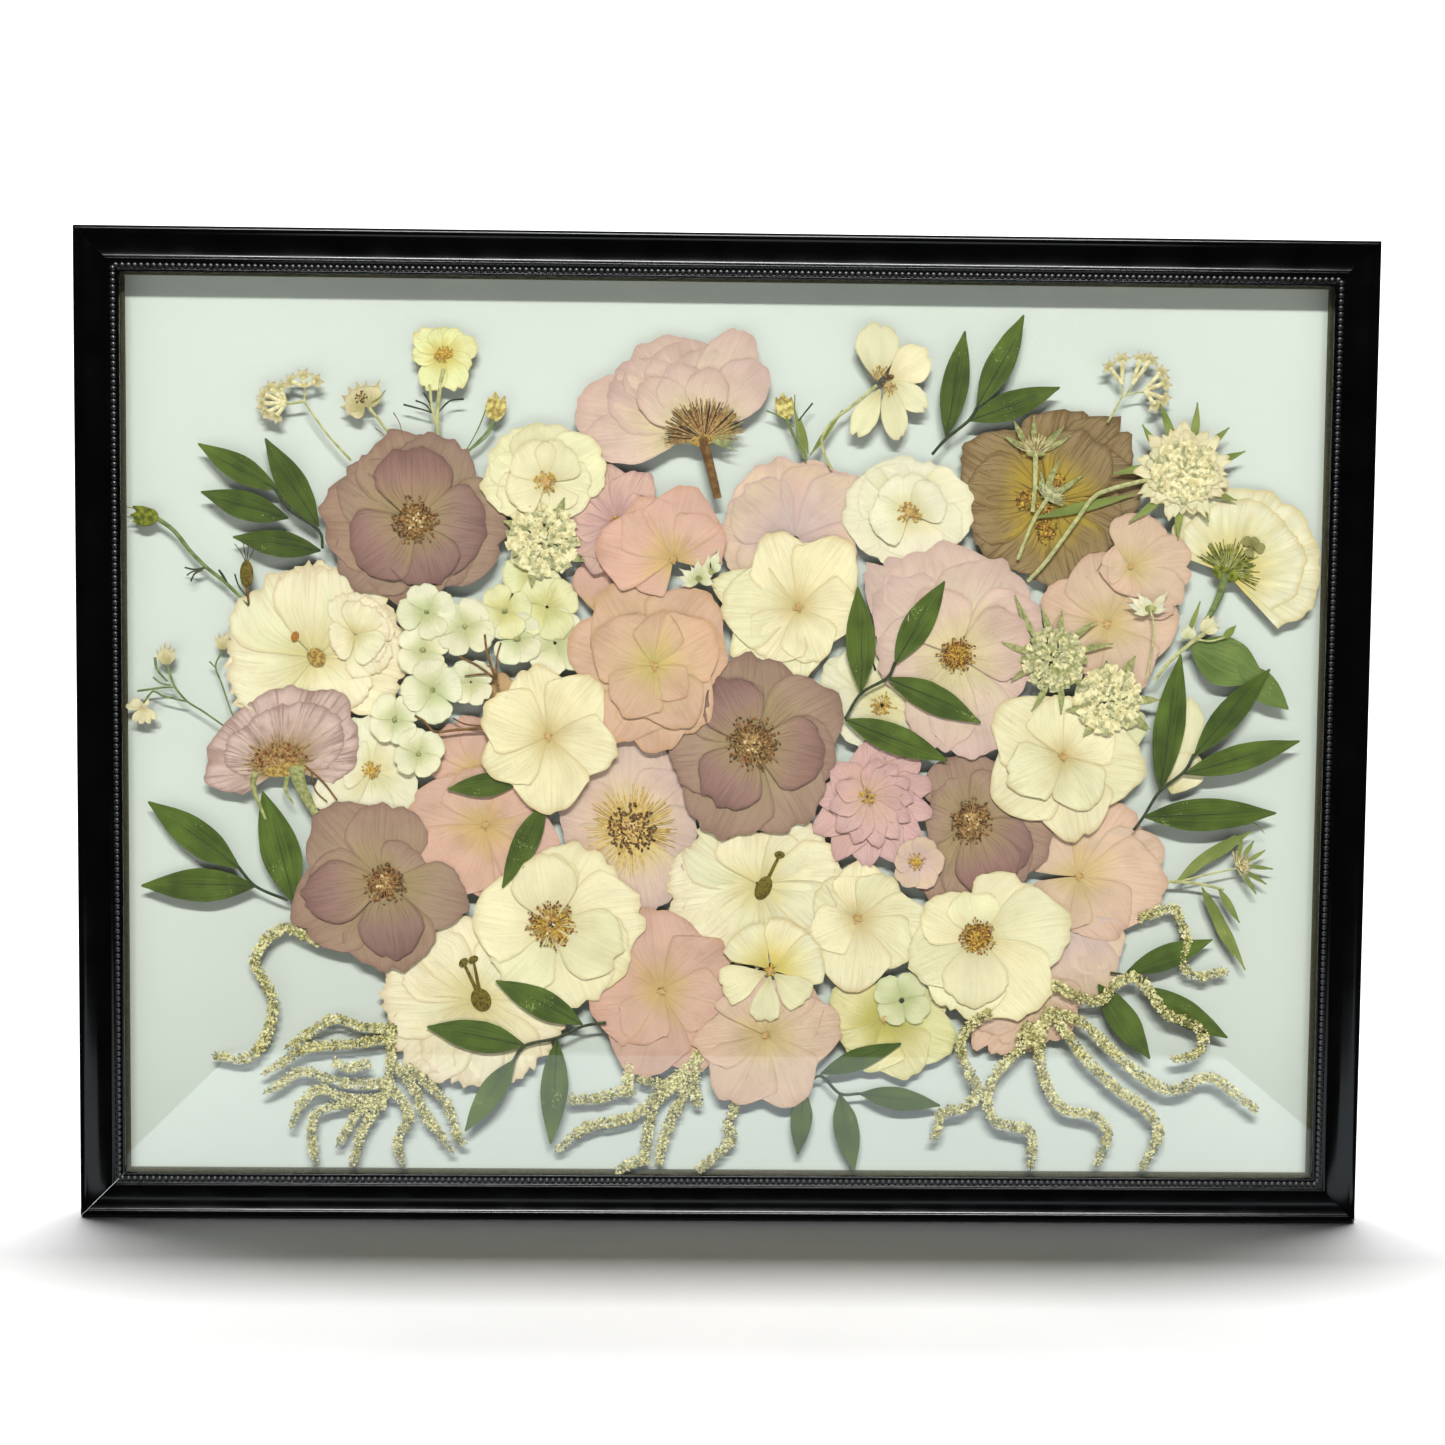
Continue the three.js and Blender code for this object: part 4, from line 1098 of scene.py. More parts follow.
sprays = [
    {"node": "ruscus_upper_left", "layer": 2,
     "leaves": [(-265, 140, -224, 119, 13.5), (-232, 144, -204, 101, 15), (-263, 117, -219, 105, 14.5),
                (-247, 96, -203, 89, 13.5)],
     "stem": [(-226, 120), (-218, 109), (-204, 99), (-202, 90)]},
    {"node": "ruscus_top", "layer": 2,
     "leaves": [(117, 202, 109, 149, 14), (149, 209, 124, 164, 14), (166, 174, 120, 157, 14)],
     "stem": [(125, 165), (120, 157), (109, 148), (102, 140)]},
    {"node": "ruscus_centre", "layer": 1,
     "leaves": [(68, 74, 68, 21, 15), (108, 78, 85, 35, 15), (130, 8, 81, 28, 15), (113, -13, 60, 7, 15)],
     "stem": [(85, 36), (81, 28), (68, 20), (60, 7)]},
    {"node": "ruscus_right", "layer": 1,
     "leaves": [(228, 42, 220, -28, 16), (273, 36, 237, -10, 14), (291, -2, 232, -19, 14),
                (280, -38, 212, -41, 17)],
     "stem": [(237, -9), (232, -18), (220, -28), (212, -41), (207, -48)]},
    {"node": "ruscus_left", "layer": 3,
     "leaves": [(-290, -37, -244, -71, 17), (-231, -31, -217, -88, 20), (-294, -78, -236, -80, 17)],
     "stem": [(-245, -70), (-236, -80), (-220, -87)]},
    {"node": "ruscus_lower_left", "layer": 1,
     "leaves": [(-115, -126, -71, -149, 15), (-150, -150, -100, -160, 16), (-131, -204, -105, -167, 13),
                (-86, -211, -84, -157, 14)],
     "stem": [(-106, -168), (-100, -160), (-84, -156), (-71, -150), (-59, -148)]},
    {"node": "ruscus_low_middle", "layer": 3,
     "leaves": [(91, -157, 50, -174, 11), (112, -189, 70, -184, 12), (68, -224, 60, -184, 13),
                (39, -216, 42, -182, 11)],
     "stem": [(42, -181), (50, -175), (60, -184), (70, -184)]},
]
for spray in sprays:
    makeSpray(spray)
print("ruscus ready")

# amaranth
tailSettings = {"tuftStep": 2.1, "tuftsPerStep": 4, "wide": 2.75, "grains": 6, "grainSize": 0.64}


def shapeTuft(bm):
    for i in range(tailSettings["grains"]):
        across = random.uniform(-1, 1) * tailSettings["wide"]
        radius = tailSettings["grainSize"] * random.uniform(0.6, 1.3)
        made = bmesh.ops.create_icosphere(bm, subdivisions=1, radius=radius)
        bmesh.ops.scale(bm, verts=made["verts"], vec=(1, 0.6, random.uniform(0.7, 1.4)))
        bmesh.ops.rotate(bm, verts=made["verts"], matrix=Matrix.Rotation(random.uniform(0, 3), 3, "Y"))
        high = random.uniform(-0.75, 0.15) * (1 - 0.6 * abs(across) / tailSettings["wide"])
        bmesh.ops.translate(bm, verts=made["verts"], vec=(across, high, random.uniform(-1.3, 1.3)))


tufts = [stampMesh("tuft%d" % i, shapeTuft) for i in range(16)]
tailLooks = (("grain", "grainLight", "grainDeep"), (5, 4, 3))  # with their shares


def makeTails(bunch):
    plant = newPlant()
    y = layerFace(bunch["layer"]) + 0.2
    for tail in bunch["tails"]:
        addStem(plant, tail, 1.1, y, "stem", 0.5)
        line = smoothLine(tail, tailSettings["tuftStep"])
        for i, (a, b) in enumerate(zip(line, line[1:])):
            way = (b - a).normalized()
            turn = math.atan2(way.y, way.x)
            thinning = 1 - bunch.get("taper", 0.3) * max(0, i / len(line) - 0.8) / 0.2
            size = bunch.get("wide", 1) * thinning * random.uniform(0.88, 1.12)
            place = turned(a.x, max(y - 0.05, nearest + 0.3), a.y, math.pi / 2 - turn)
            place = place @ Matrix.Diagonal((size, 1, size, 1))
            for look in random.choices(*tailLooks, k=tailSettings["tuftsPerStep"]):
                stamp(plant, random.choice(tufts), place, look)
    finishPlant(plant, bunch, "seed_head")


bunches = [
    {"node": "amaranth_left", "layer": 3, "taper": 0.6, "wide": 0.92,
     "tails": [ [(-166, -152), (-182, -151), (-197, -147), (-210, -155), (-222, -163)],
               [(-168, -157), (-190, -160), (-210, -162), (-222, -169), (-234, -176)],
               [(-168, -152), (-168, -166), (-170, -180), (-173, -192)],
               [(-170, -180), (-190, -180), (-212, -174), (-223, -180), (-233, -186)],
               [(-172, -188), (-190, -188), (-203, -183), (-213, -190), (-219, -204)],
               [(-173, -190), (-195, -191), (-207, -197), (-208, -210), (-206, -224)],
               [(-172, -190), (-182, -203), (-188, -224)],
               [(-169, -180), (-159, -196), (-165, -210), (-161, -224)],
               [(-168, -168), (-157, -182), (-150, -197), (-136, -216)],
               [(-180, -170), (-190, -172), (-198, -168)],
               [(-170, -185), (-185, -195), (-188, -200), (-196, -213)],
               [(-160, -172), (-152, -178), (-140, -190), (-134, -208), (-129, -211)]]},
    {"node": "amaranth_middle", "layer": 4,
     "tails": [ [(-10, -163), (-25, -178), (-45, -196), (-68, -202), (-85, -215)],
               [(-12, -164), (-22, -178), (-34, -190), (-38, -208), (-40, -222)],
               [(-12, -165), (-20, -185), (-29, -206), (-32, -223)], [(-10, -163), (-14, -178), (-12, -192)],
               [(-47, -170), (-48, -180), (-46, -187)], [(-76, -188), (-62, -187), (-48, -182)],
               [(-42, -176), (-30, -180), (-18, -176)],
               [(8, -188), (3, -200), (5, -208), (-5, -218), (-13, -225)],
               [(-53, -225), (-44, -220), (-36, -218)]]},
    {"node": "amaranth_right", "layer": 1,
     "tails": [ [(160, -150), (152, -160), (140, -172), (135, -186), (140, -198), (157, -203), (158, -223)],
               [(166, -140), (161, -160), (165, -178), (174, -191), (188, -194), (197, -203), (191, -221)],
               [(166, -141), (185, -165), (202, -181), (215, -190), (223, -203), (214, -223)],
               [(166, -141), (182, -146), (203, -165), (222, -179), (234, -180), (248, -174), (264, -184),
                (274, -192)], [(166, -143), (160, -150), (161, -160)],
               [(155, -147), (152, -155), (151, -160)],
               [(135, -142), (127, -147), (121, -156), (123, -167), (129, -178), (130, -184), (122, -191),
                (112, -193), (110, -203), (106, -207)],
               [(168, -127), (180, -133), (192, -135), (200, -126), (210, -123), (218, -132), (226, -142),
                (240, -147), (245, -155), (240, -163), (228, -165)]]},
    {"name": "amaranth_strand_left", "layer": 4,
     "tails": [ [(-205, -108), (-215, -103), (-222, -101), (-232, -108), (-237, -119), (-232, -128),
                 (-228, -138), (-229, -150), (-235, -163), (-243, -168), (-252, -167), (-259, -166)]]},
    {"name": "amaranth_strand_right", "layer": 4, "wide": 0.9,
     "tails": [ [(212, -93), (222, -89), (229, -88), (233, -96), (236, -104), (234, -113), (236, -120),
                 (243, -123), (250, -121), (258, -120)]]},
]
for bunch in bunches:
    makeTails(bunch)
print("amaranth ready")

# small sprigs and single florets
smallGrid = {"cols": 6, "rows": 8, "crease": 0.05}
wideGrid = {"cols": 12, "rows": 16, "crease": 0.1}


def addTubes(plant, foot, tubes, y):
    # narrow tubes from one foot, each with a small star of lobes at its mouth
    for deg, length in tubes:
        turn = math.radians(deg)
        way = Vector((math.cos(turn), math.sin(turn)))
        middle, mouth = (Vector(foot) + way * length * part for part in (0.5, 0.86))
        for lobe in (78, -78, 30, -30):
            addPetal(plant, mouth, (deg + lobe, 4.8, 2.6), y, "beige", True, **smallGrid)
        yield [foot, tuple(middle), tuple(mouth)]


def makeSprig(sprig):
    plant = newPlant()
    y = layerFace(sprig["layer"]) + sprig.get("depth", 0.3)
    for leaf in sprig.get("leaves", []):
        addLeaf(plant, leaf[:5], y, leaf[5] if len(leaf) > 5 else "leaf", random.uniform(-0.04, 0.04))
        y -= 0.03
    for at, look, petals in sprig.get("flowers", []):
        for petal in petals:
            addPetal(plant, at, petal, y, look, look == "beige" or "pointed" in sprig, notch=0.12,
                     **(smallGrid if petal[1] < 16 else wideGrid))
            y -= 0.03
    tubeLines = [line for foot, tubes in sprig.get("tubes", []) for line in addTubes(plant, foot, tubes, y)]
    thicken(plant, 0.1)
    for line in tubeLines:
        addStem(plant, line, 1.5, y, "floretCream", 1.7)
    for points, width, look in sprig.get("stems", []):
        addStem(plant, points, width, y, look, 0.75)
    for x, z, wide, tall, deg, look in sprig.get("pods", []):
        addPod(plant, x, z, max(y - 0.15, nearest + 0.2), wide, tall, deg, look, 0.4, dome)
    for at, turns, reach, count, look in sprig.get("fringes", []):
        addFringe(plant, at, y - 0.1, turns, reach, count, look)
    for at, radius, count, anther in sprig.get("stamens", []):
        addStamens(plant, at, y - 0.1, radius, count, anther, inner=0.1, size=0.6)
    finishPlant(plant, sprig, sprig["slot"])


sprigs = [
    {"name": "tube_flowers_left", "slot": "petal_cream", "layer": 3,
     "tubes": [((-211, 170), [(158, 8), (96, 6), (28, 7)]),
               ((-220, 162), [(112, 9), (138, 12), (160, 13), (182, 13), (206, 12), (232, 9)])],
     "stems": [([(-188, 134), (-199, 146), (-208, 158), (-211, 163)], 1.4, "stemPale"),
               ([(-211, 163), (-211, 172)], 1.1, "stemPale"),
               ([(-211, 163), (-217, 162), (-224, 161)], 1.6, "stemPale")]},
    {"name": "beige_cup_flower", "slot": "petal_cream", "layer": 4,
     "flowers": [((-181, 160), "beige", [(62, 16, 10), (88, 14, 10), (178, 13, 9), (108, 14, 11),
                                         (130, 14, 11), (152, 14, 10), (200, 10, 8)])],
     "stems": [([(-179, 160), (-174, 154), (-168, 146)], 1.7, "stemPale"),
               ([(-178, 163), (-174, 165), (-171, 169)], 0.9, "sepal"),
               ([(-167, 158), (-164, 153), (-163, 149)], 0.5, "stemBrown"),
               ([(-176, 150), (-173, 148), (-170, 145)], 0.5, "stemBrown")],
     "stamens": [((-183, 165), 3.4, 18, "antherDark")]},
    {"name": "lemon_flower", "slot": "petal_cream", "layer": 4,
     "flowers": [((-142, 187), "lemon", [(95, 14, 15), (180, 16, 12), (142, 18, 13), (55, 15, 12),
                                         (18, 18, 13), (243, 20, 15), (335, 15, 11), (296, 19, 15)])],
     "stems": [([(-142, 180), (-144, 170), (-145, 158), (-145, 144)], 2.2, "stemPale"),
               ([(-149, 172), (-148, 162), (-146, 152)], 1.6, "stemPale"),
               ([(-162, 162), (-154, 160), (-147, 158)], 1.0, "stemDark"),
               ([(-132, 165), (-139, 164), (-145, 158)], 1.0, "stemDark"),
               ([(-156, 164), (-151, 162), (-147, 157)], 0.9, "stemDark"),
               ([(-152, 168), (-149, 163), (-147, 157)], 0.9, "stemDark"),
               ([(-149, 171), (-148, 163), (-147, 158)], 0.9, "stemDark")],
     "pods": [(-142, 187, 4.6, 2.2, 0, "antherGold")], "stamens": [((-142, 187), 4.6, 40, "antherGold")]},
    {"name": "bud_top_left", "slot": "seed_head", "layer": 4,
     "leaves": [(-112, 167, -116, 154, 6, "budBrown"), (-120, 166, -117, 154, 6, "budBrown"),
                (-116, 169, -117, 154, 7, "budBrown")],
     "stems": [([(-117, 155), (-121, 148), (-131, 138)], 1.6, "stem"),
               ([(-121, 160), (-125, 150), (-131, 139)], 0.7, "stem"),
               ([(-117, 152), (-121, 146), (-127, 141)], 0.7, "stem")]},
    {"name": "bud_left", "slot": "leaf", "layer": 4, "pods": [(-290, 105, 6.2, 4.4, 10, "budGreen")],
     "leaves": [(-297, 110, -284, 104, 6, "budGreen"), (-297, 102, -284, 104, 6, "budGreen"),
                (-298, 106, -283, 104, 8, "budGreen")],
     "stems": [([(-284, 104), (-276, 98), (-268, 88), (-260, 80), (-250, 72), (-239, 61)], 2.3, "stem"),
               ([(-261, 80), (-266, 79), (-271, 80)], 1.1, "stemDark"),
               ([(-262, 79), (-266, 77), (-268, 73)], 1.1, "stemDark"),
               ([(-262, 79), (-267, 78), (-270, 76)], 0.9, "stemDark"),
               ([(-250, 72), (-252, 76), (-254, 79)], 1.6, "stemDark"),
               ([(-296, 109), (-300, 110)], 0.5, "stem"), ([(-296, 105), (-300, 105)], 0.5, "stem")]},
    {"name": "seed_pod_left", "slot": "seed_head", "layer": 3,
     "pods": [(-240, 77, 3.4, 7, 0, "pistil"), (-239, 77, 1.6, 6, 3, "stemBrown")],
     "stems": [([(-240, 70), (-239, 62)], 1.5, "stemBrown"),
               ([(-240, 82), (-243, 88), (-246, 92)], 0.5, "stemDark"),
               ([(-240, 82), (-242, 94)], 0.5, "stemDark"), ([(-240, 82), (-239, 92)], 0.5, "stemDark"),
               ([(-240, 82), (-236, 90)], 0.5, "stemDark"),
               ([(-246, 77), (-244, 71), (-240, 66)], 0.9, "stemDark")]},
    {"name": "star_sprig_left", "slot": "petal_cream", "layer": 4,
     "flowers": [((-280, 31), "beige", [(65, 10, 4), (125, 10, 4), (80, 11, 4), (110, 11, 4), (95, 12, 4)]),
                 ((-292, 10), "cream", [(178, 9, 4), (150, 7, 5), (235, 9, 4), (262, 9, 4), (290, 9, 4),
                                        (320, 9, 4), (60, 5, 3)])],
     "stems": [([(-280, 31), (-278, 25), (-276, 20), (-270, 13), (-262, 8), (-252, 1)], 1.3, "stem"),
               ([(-292, 12), (-287, 18), (-283, 16), (-275, 14), (-270, 13)], 1.2, "stem"),
               ([(-295, 18), (-288, 19), (-281, 20), (-277, 20)], 1.2, "stem"),
               ([(-286, 35), (-285, 29), (-280, 23)], 1.5, "stem"),
               ([(-287, 25), (-283, 22), (-278, 21)], 1.0, "stem")]},
    {"name": "small_sprig_left", "slot": "petal_cream", "layer": 5,
     "flowers": [((-252, 39), "beige", [(125, 8, 3.5), (105, 9, 4), (82, 10, 4), (60, 8, 3.5)])],
     "stems": [([(-252, 39), (-256, 31), (-253, 22), (-249, 10), (-247, 5)], 1.0, "stem"),
               ([(-259, 33), (-256, 30)], 0.9, "stem")]},
    {"name": "bud_top_middle", "slot": "seed_head", "layer": 4,
     "leaves": [(24, 168, 29, 156, 6, "budBrown"), (31, 168, 29, 156, 6, "budBrown"),
                (27, 170, 29, 156, 8, "budBrown"), (32, 163, 39, 138, 3, "paleLeaf"),
                (36, 158, 40, 140, 2.6, "paleLeaf")],
     "stems": [([(29, 157), (33, 148), (39, 136)], 1.7, "stem"),
               ([(42, 165), (38, 160), (35, 156)], 0.9, "stemDark"),
               ([(19, 161), (26, 158), (33, 153)], 0.8, "stem"), ([(33, 169), (33, 160)], 0.6, "stem")]},
    {"name": "cream_lily", "slot": "petal_cream", "layer": 3,
     "flowers": [((74, 176), "ivory", [(90, 30, 22)]),
                 ((79, 177), "ivory", [(32, 25, 20), (325, 25, 13), (282, 31, 13)]),
                 ((76, 173), "ivory", [(242, 28, 13)])],
     "leaves": [(57, 162, 41, 139, 3, "paleLeaf")],
     "stems": [([(74, 174), (62, 164), (52, 156), (47, 148), (48, 140), (52, 132)], 1.8, "stemPale")],
     "stamens": [((75, 180), 4.6, 22, "antherGold"), ((80, 173), 4.2, 20, "antherGold")],
     "pods": [(80, 178, 2.6, 1.4, 20, "antherDark"), (77, 175, 1.8, 1.1, 60, "antherDark")]},
    {"name": "tube_flowers_right", "slot": "petal_cream", "layer": 3,
     "tubes": [((197, 176), [(128, 12), (92, 14)]), ((202, 176), [(74, 15), (54, 17)]),
               ((208, 173), [(48, 14), (20, 12), (338, 12), (308, 10)])],
     "stems": [([(190, 157), (197, 170)], 1.3, "stemPale"), ([(197, 170), (197, 180)], 1.0, "stemPale"),
               ([(197, 170), (204, 172), (210, 172)], 1.0, "stemPale"),
               ([(199, 171), (203, 178)], 0.9, "stemPale")]},
    {"name": "pale_cluster", "pointed": True, "slot": "petal_cream", "layer": 0, "depth": 0.0,
     "flowers": [((-14, 76), "floret", [(62, 15, 4), (95, 12, 4), (120, 9, 4), (150, 12, 4), (172, 12, 4),
                                        (198, 10, 4), (30, 10, 4), (350, 9, 4)]),
                 ((-8, 80), "floret", [(72, 13, 4.5), (100, 10, 4), (40, 8, 4)])],
     "pods": [(-14, 77, 2, 1.5, 0, "sepal"), (-8, 80, 1.6, 1.3, 0, "sepal")]},
    {"name": "white_star_right", "pointed": True, "slot": "petal_cream", "layer": 0, "depth": 0.1,
     "flowers": [((213, 63), "white", [(165, 14, 4), (148, 14, 4), (128, 12, 4), (108, 8, 4), (48, 14, 4),
                                       (28, 9, 4), (8, 9, 4), (190, 9, 4)])],
     "stems": [([(213, 63), (215, 55), (214, 42), (212, 29)], 1.1, "stemPale")],
     "pods": [(213, 64, 3, 2, 0, "sepal")]},
    {"name": "pale_sprig_right", "pointed": True, "slot": "petal_cream", "layer": 2,
     "flowers": [((241, 52), "ivory", [(100, 8, 4), (80, 10, 5), (62, 11, 5), (42, 10, 4), (22, 9, 4)]),
                 ((233, 49), "floret", [(125, 7, 5), (95, 8, 5), (65, 7, 5)])],
     "leaves": [(257, 56, 250, 49, 4, "paleLeaf"), (239, 68, 232, 50, 2.6, "paleLeaf")],
     "stems": [([(241, 52), (233, 46), (224, 38), (216, 28)], 2.2, "stemPale"),
               ([(251, 50), (244, 48), (236, 49)], 1.2, "stemPale")]},
    {"name": "folded_leaf", "slot": "leaf", "layer": 3,
     "leaves": [(272, 28, 234, 46, 25, "foldLeaf"), (285, 14, 258, 36, 15, "foldLeaf")]},
    {"name": "narrow_leaf_sprig", "slot": "leaf", "layer": 4,
     "leaves": [(267, -47, 237, -68, 6, "paleLeaf"), (259, -49, 230, -74, 6, "paleLeaf"),
                (250, -58, 229, -75, 4, "paleLeaf"), (263, -95, 251, -77, 4, "paleLeaf"),
                (254, -99, 243, -77, 4.5, "paleLeaf"), (259, -113, 246, -80, 6, "paleLeaf"),
                (265, -120, 251, -88, 4, "paleLeaf"), (279, -67, 265, -66, 2.2, "paleLeaf"),
                (276, -75, 264, -68, 2.4, "paleLeaf"), (271, -80, 263, -69, 2.4, "paleLeaf"),
                (275, -58, 265, -64, 2.4, "paleLeaf"), (269, -53, 263, -62, 2.6, "paleLeaf"),
                (263, -51, 261, -62, 2.4, "paleLeaf")],
     "stems": [([(226, -74), (240, -75), (254, -78)], 1.8, "stemPale"),
               ([(228, -75), (243, -71), (261, -67)], 1.2, "stemPale"),
               ([(264, -45), (269, -44), (274, -49)], 0.6, "stem")],
     "fringes": [((260, -66), (-60, 110), 8, 50, "beigeThread"),
                 ((260, -66), (-50, 100), 5.5, 30, "antherDark")],
     "stamens": [((263, -66), 3.6, 20, "floretCream")]},
]
for sprig in sprigs:
    makeSprig(sprig)


def fourPetals(at, reach, turn, look):
    petals = []
    for i in (0, 2, 1, 3):
        deg, length = turn + 90 * i + random.uniform(-8, 8), reach * random.uniform(0.92, 1.06)
        petals.append((deg, length, reach * 1.08))
    return at, look, petals


florets = [
    {"name": "white_florets", "slot": "petal_cream", "layer": 2,
     "flowers": [fourPetals((-98, 78), 16, 10, "floretYellow"), fourPetals((-86, 44), 18, 70, "floret"),
                 fourPetals((-90, 62), 18, 25, "floretYellow"), fourPetals((-128, 24), 13, 40, "floret"),
                 fourPetals((-105, 46), 14, 50, "floret"), fourPetals((-111, 60), 14, 20, "floretYellow"),
                 fourPetals((-152, 40), 14, 35, "floret"), fourPetals((-131, 52), 16, 60, "floret"),
                 fourPetals((-150, 59), 15, 15, "floret")],
     "stems": [([(-114, 22), (-117, 30), (-120, 40), (-121, 48)], 1.5, "stemBrown"),
               ([(-115, 25), (-115, 36), (-113, 44)], 1.1, "stemBrown"),
               ([(-116, 26), (-124, 32), (-134, 37)], 1.2, "stemBrown"),
               ([(-118, 28), (-124, 28), (-131, 27)], 1.0, "stemBrown")],
     "pods": [(-131, 52, 1.3, 1.1, 0, "sepal"), (-150, 59, 1.4, 1.1, 0, "sepal"),
              (-152, 40, 1.6, 1.2, 0, "sepal"), (-111, 60, 1.5, 1.2, 0, "sepal"),
              (-105, 46, 2, 1, 0, "sepal")]},
    {"name": "white_florets_low", "slot": "petal_cream", "layer": 1,
     "flowers": [fourPetals((-166, 5), 14, 40, "floret"), fourPetals((-154, -12), 14, 30, "floret"),
                 fourPetals((-147, 20), 17, 10, "floret")],
     "stems": [([(-122, 1), (-135, 0), (-146, -1), (-151, 4), (-156, 7)], 1.6, "stemBrown"),
               ([(-123, 2), (-131, 3), (-137, 6)], 1.0, "stemBrown")],
     "pods": [(-147, 20, 1.4, 1.4, 0, "sepal"), (-166, 5, 1.3, 1.3, 0, "sepal"),
              (-154, -12, 1.3, 1.3, 0, "sepal")]},
    {"name": "white_floret_right", "slot": "petal_cream", "layer": 4,
     "flowers": [fourPetals((91, -136), 15, 55, "floretGreen")],
     "pods": [(91, -136, 1.4, 1.4, 0, "stemDark")]},
    {"name": "pink_small_right", "slot": "petal_pink", "layer": 3,
     "flowers": [((203, 85), "pinkFaded", [(120, 14, 24), (235, 14, 26), (170, 12, 20), (318, 32, 28),
                                           (5, 32, 30), (78, 28, 30)])],
     "pods": [(203, 85, 1.5, 1.5, 0, "carpel")]},
    {"name": "white_pink_eye", "slot": "petal_pink", "layer": 2,
     "flowers": [((97, -65), "palePink", [(60, 14, 14), (0, 15, 14), (300, 15, 14), (240, 14, 14),
                                          (180, 11, 11), (120, 12, 12)])],
     "stamens": [((97, -65), 4.8, 44, "antherGold")], "pods": [(97, -65, 2.4, 2.4, 0, "antherGold")]},
    {"name": "loose_pink_petals_right", "slot": "petal_pink", "layer": 5,
     "flowers": [((176, -92), "palePink", [(282, 46, 40), (310, 34, 34)]),
                 ((160, -126), "pinkFaded", [(230, 47, 30), (212, 40, 30), (250, 38, 34), (285, 32, 34),
                                             (320, 26, 26)])]},
    {"name": "loose_pink_petals_left", "slot": "petal_pink", "layer": 5, "depth": 0.45,
     "flowers": [((-125, -22), "pink", [(112, 30, 30), (150, 30, 26), (75, 26, 26)]),
                 ((-118, 14), "tanBit", [(118, 20, 20), (60, 16, 16)]),
                 ((-64, 58), "pink", [(88, 28, 28)])]},
    {"name": "cream_petal_right", "slot": "petal_cream", "layer": 4,
     "flowers": [((226, -30), "ivory", [(84, 52, 26), (60, 24, 20)])]},
    {"name": "ruscus_pair", "slot": "leaf", "layer": 1,
     "leaves": [(-140, -29, -103, -26, 12), (-112, -80, -90, -36, 13)]},
    {"name": "ruscus_right_low", "slot": "leaf", "layer": 3,
     "leaves": [(249, -103, 205, -121, 13), (219, -165, 191, -127, 15), (257, -156, 214, -128, 14)],
     "stems": [([(197, -121), (206, -122)], 1.2, "stemDark")]},
    {"name": "grey_spot", "slot": "seed_head", "layer": 3, "depth": 0.2,
     "flowers": [((264, 96), "spotGrey", [(135, 6, 5), (60, 5, 5), (350, 7, 5), (250, 6, 5)])]},
]
for sprig in florets:
    makeSprig(sprig)
makeSprig({
    "name": "scabious_side_heads", "slot": "seed_head", "layer": 3,
    "leaves": [(138, 150, 151, 142, 3, "sepal"), (143, 158, 150, 143, 3, "sepal"),
               (153, 160, 153, 144, 2.6, "sepal"), (168, 155, 157, 143, 3.4, "sepal"),
               (172, 150, 158, 142, 2.6, "sepal"), (166, 138, 158, 120, 3, "sepal"),
               (178, 131, 161, 118, 3, "sepal"), (157, 132, 158, 119, 3, "sepal"),
               (205, 121, 155, 109, 5, "paleLeaf")],
    "stems": [([(154, 141), (154, 126), (153, 112)], 2.6, "stemPale"),
              ([(160, 118), (156, 112), (152, 104), (146, 88)], 2.2, "stemPale")],
    "fringes": [((154, 141), (15, 165), 10, 90, "beigeThread"),
                ((154, 141), (25, 155), 7, 30, "antherDark"),
                ((160, 118), (-20, 130), 9, 70, "floretGrey")],
    "pods": [(154, 141, 5, 1.6, 0, "sepal")],
})
print("sprigs ready")

# floor, light and camera
floorShape = {"half": 4, "cells": 60, "bendFrom": 1.3, "bend": 0.7, "gap": 0.0005}
bm = bmesh.new()
cells = floorShape["cells"]
bmesh.ops.create_grid(bm, x_segments=cells, y_segments=cells, size=floorShape["half"])
for v in bm.verts:
    back = max(0.0, v.co.y - floorShape["bendFrom"])
    v.co.z = cadBox[0].z - floorShape["gap"] + floorShape["bend"] * back * back
bmesh.ops.recalc_face_normals(bm, faces=bm.faces)
for f in bm.faces:
    f.smooth = True
floorMesh = bpy.data.meshes.new("floor")
bm.to_mesh(floorMesh)
bm.free()
floor = bpy.data.objects.new("floor", floorMesh)
bpy.context.scene.collection.objects.link(floor)
floorMesh.materials.append(plainMaterial("paleFloor", (190, 190, 190), (186, 186, 186), scale=8, rough=0.8,
                                         specular=0.1, bumpDepth=0.00005))
floor.visible_glossy = False

onlyFloor = bpy.data.collections.new("onlyFloor")
onlyFloor.objects.link(floor)
notFloor = bpy.data.collections.new("notFloor")
notFloor.objects.link(floor)
notFloor.collection_objects[0].light_linking.link_state = "EXCLUDE"

middle = (centreX, -0.018, centreZ)
white = (1, 1, 1)
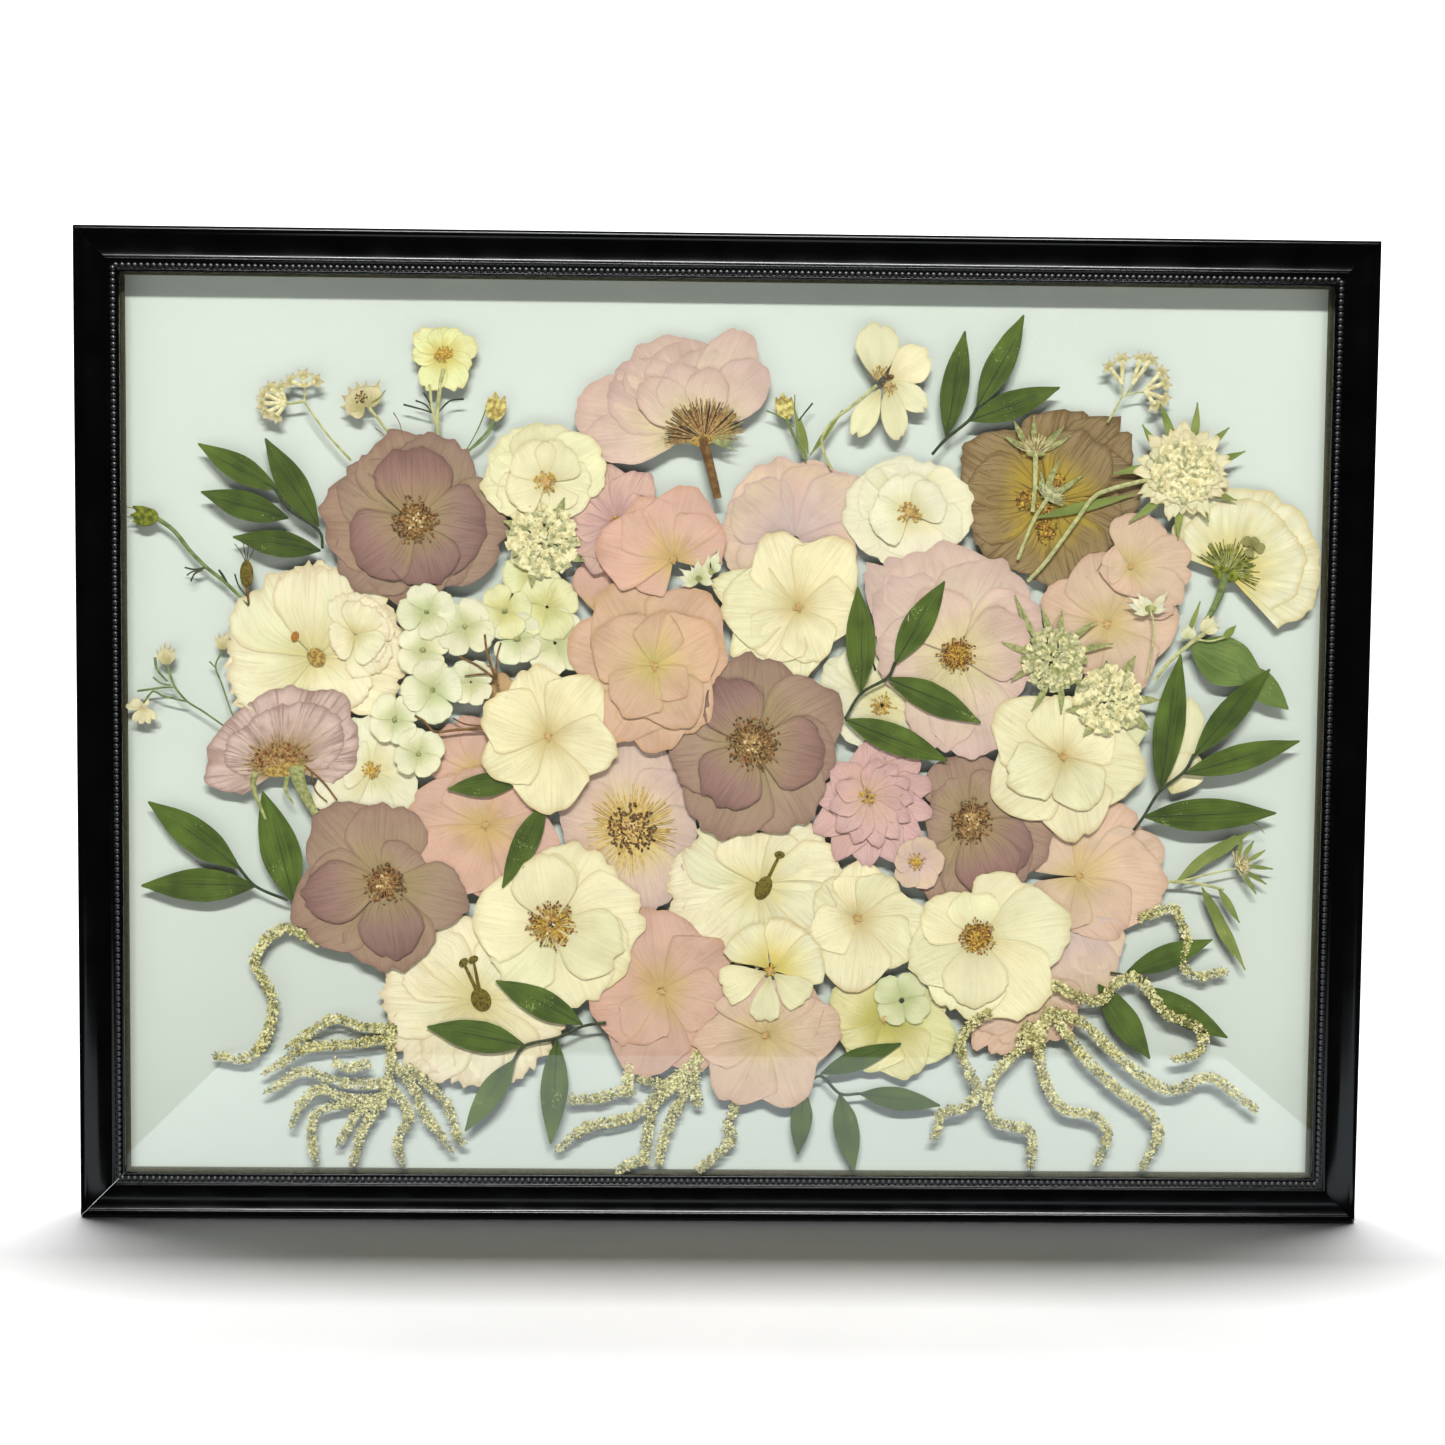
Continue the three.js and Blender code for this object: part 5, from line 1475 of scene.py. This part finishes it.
# each with its power, size, place, aim, what it lights and colour
lights = {
    "keyLight": (780, (4.0, 0.56), (0.0, -5.0, 4.7), (0.0, -3.6, -1.0), notFloor, white),
    "fillLight": (2.0, (2.0, 0.8), (-0.3, -2.2, -0.35), middle, notFloor, white),
    "floorLight": (190, (2.6, 0.36), (0.0, 0.46, 2.6), (0.0, 0.1, -0.5), onlyFloor, white),
    "farLight": (400, (3.5, 1.6), (0.0, 1.6, 3.0), (0.0, 3.0, 0.3), onlyFloor, white),
    "backLight": (7, (1.6, 1.2), (-0.8, 2.2, 1.0), middle, notFloor, white),
    # its glow shows softly in the glass near the bottom
    "lowCard": (1.15, (0.68, 0.32), (0.012, -0.21, cadBox[0].z + 0.004), (0.012, -0.21, 2), notFloor,
                (0.84, 0.93, 1.0)),
}
lamps = {}
for name, (power, size, place, aim, receivers, colour) in lights.items():
    data = bpy.data.lights.new(name, "AREA")
    data.shape = "RECTANGLE"
    data.size, data.size_y = size
    data.energy = power
    data.color = colour
    lamp = bpy.data.objects.new(name, data)
    lamp.location = place
    lamp.rotation_euler = (Vector(aim) - Vector(place)).to_track_quat("-Z", "Y").to_euler()
    lamp.visible_camera = False
    bpy.context.scene.collection.objects.link(lamp)
    lamp.light_linking.receiver_collection = receivers
    lamps[name] = lamp
lamps["fillLight"].visible_glossy = False
lamps["lowCard"].visible_diffuse = False

world = bpy.data.worlds.new("studioAir")
world.use_nodes = True
air = world.node_tree
dimAir = air.nodes["Background"]
dimAir.inputs[0].default_value = (1, 1, 1, 1)
dimAir.inputs[1].default_value = 0.04
paleAir = add(air, "ShaderNodeBackground", {0: grey(0.9)})  # what the camera sees past the floor's edge
seen = add(air, "ShaderNodeLightPath").outputs["Is Camera Ray"]
eitherAir = add(air, "ShaderNodeMixShader", {0: seen, 1: dimAir.outputs[0], 2: paleAir.outputs[0]})
air.links.new(eitherAir.outputs[0], air.nodes["World Output"].inputs[0])
bpy.context.scene.world = world
bpy.context.scene.view_settings.view_transform = "Standard"

camera = {"place": (-0.01786, -1.02204, -0.17480), "turn": (86.7659, -0.5543, -0.8988), "lens": 49.827}
lens = bpy.data.cameras.new("frontCamera")
lens.lens = camera["lens"]
lens.sensor_width = 36
lens.clip_start = 0.01
viewer = bpy.data.objects.new("frontCamera", lens)
viewer.location = camera["place"]
viewer.rotation_euler = Euler([math.radians(a) for a in camera["turn"]], "XYZ")
bpy.context.scene.collection.objects.link(viewer)
bpy.context.scene.camera = viewer
print("studio ready,", len(pressed), "pressed pieces")
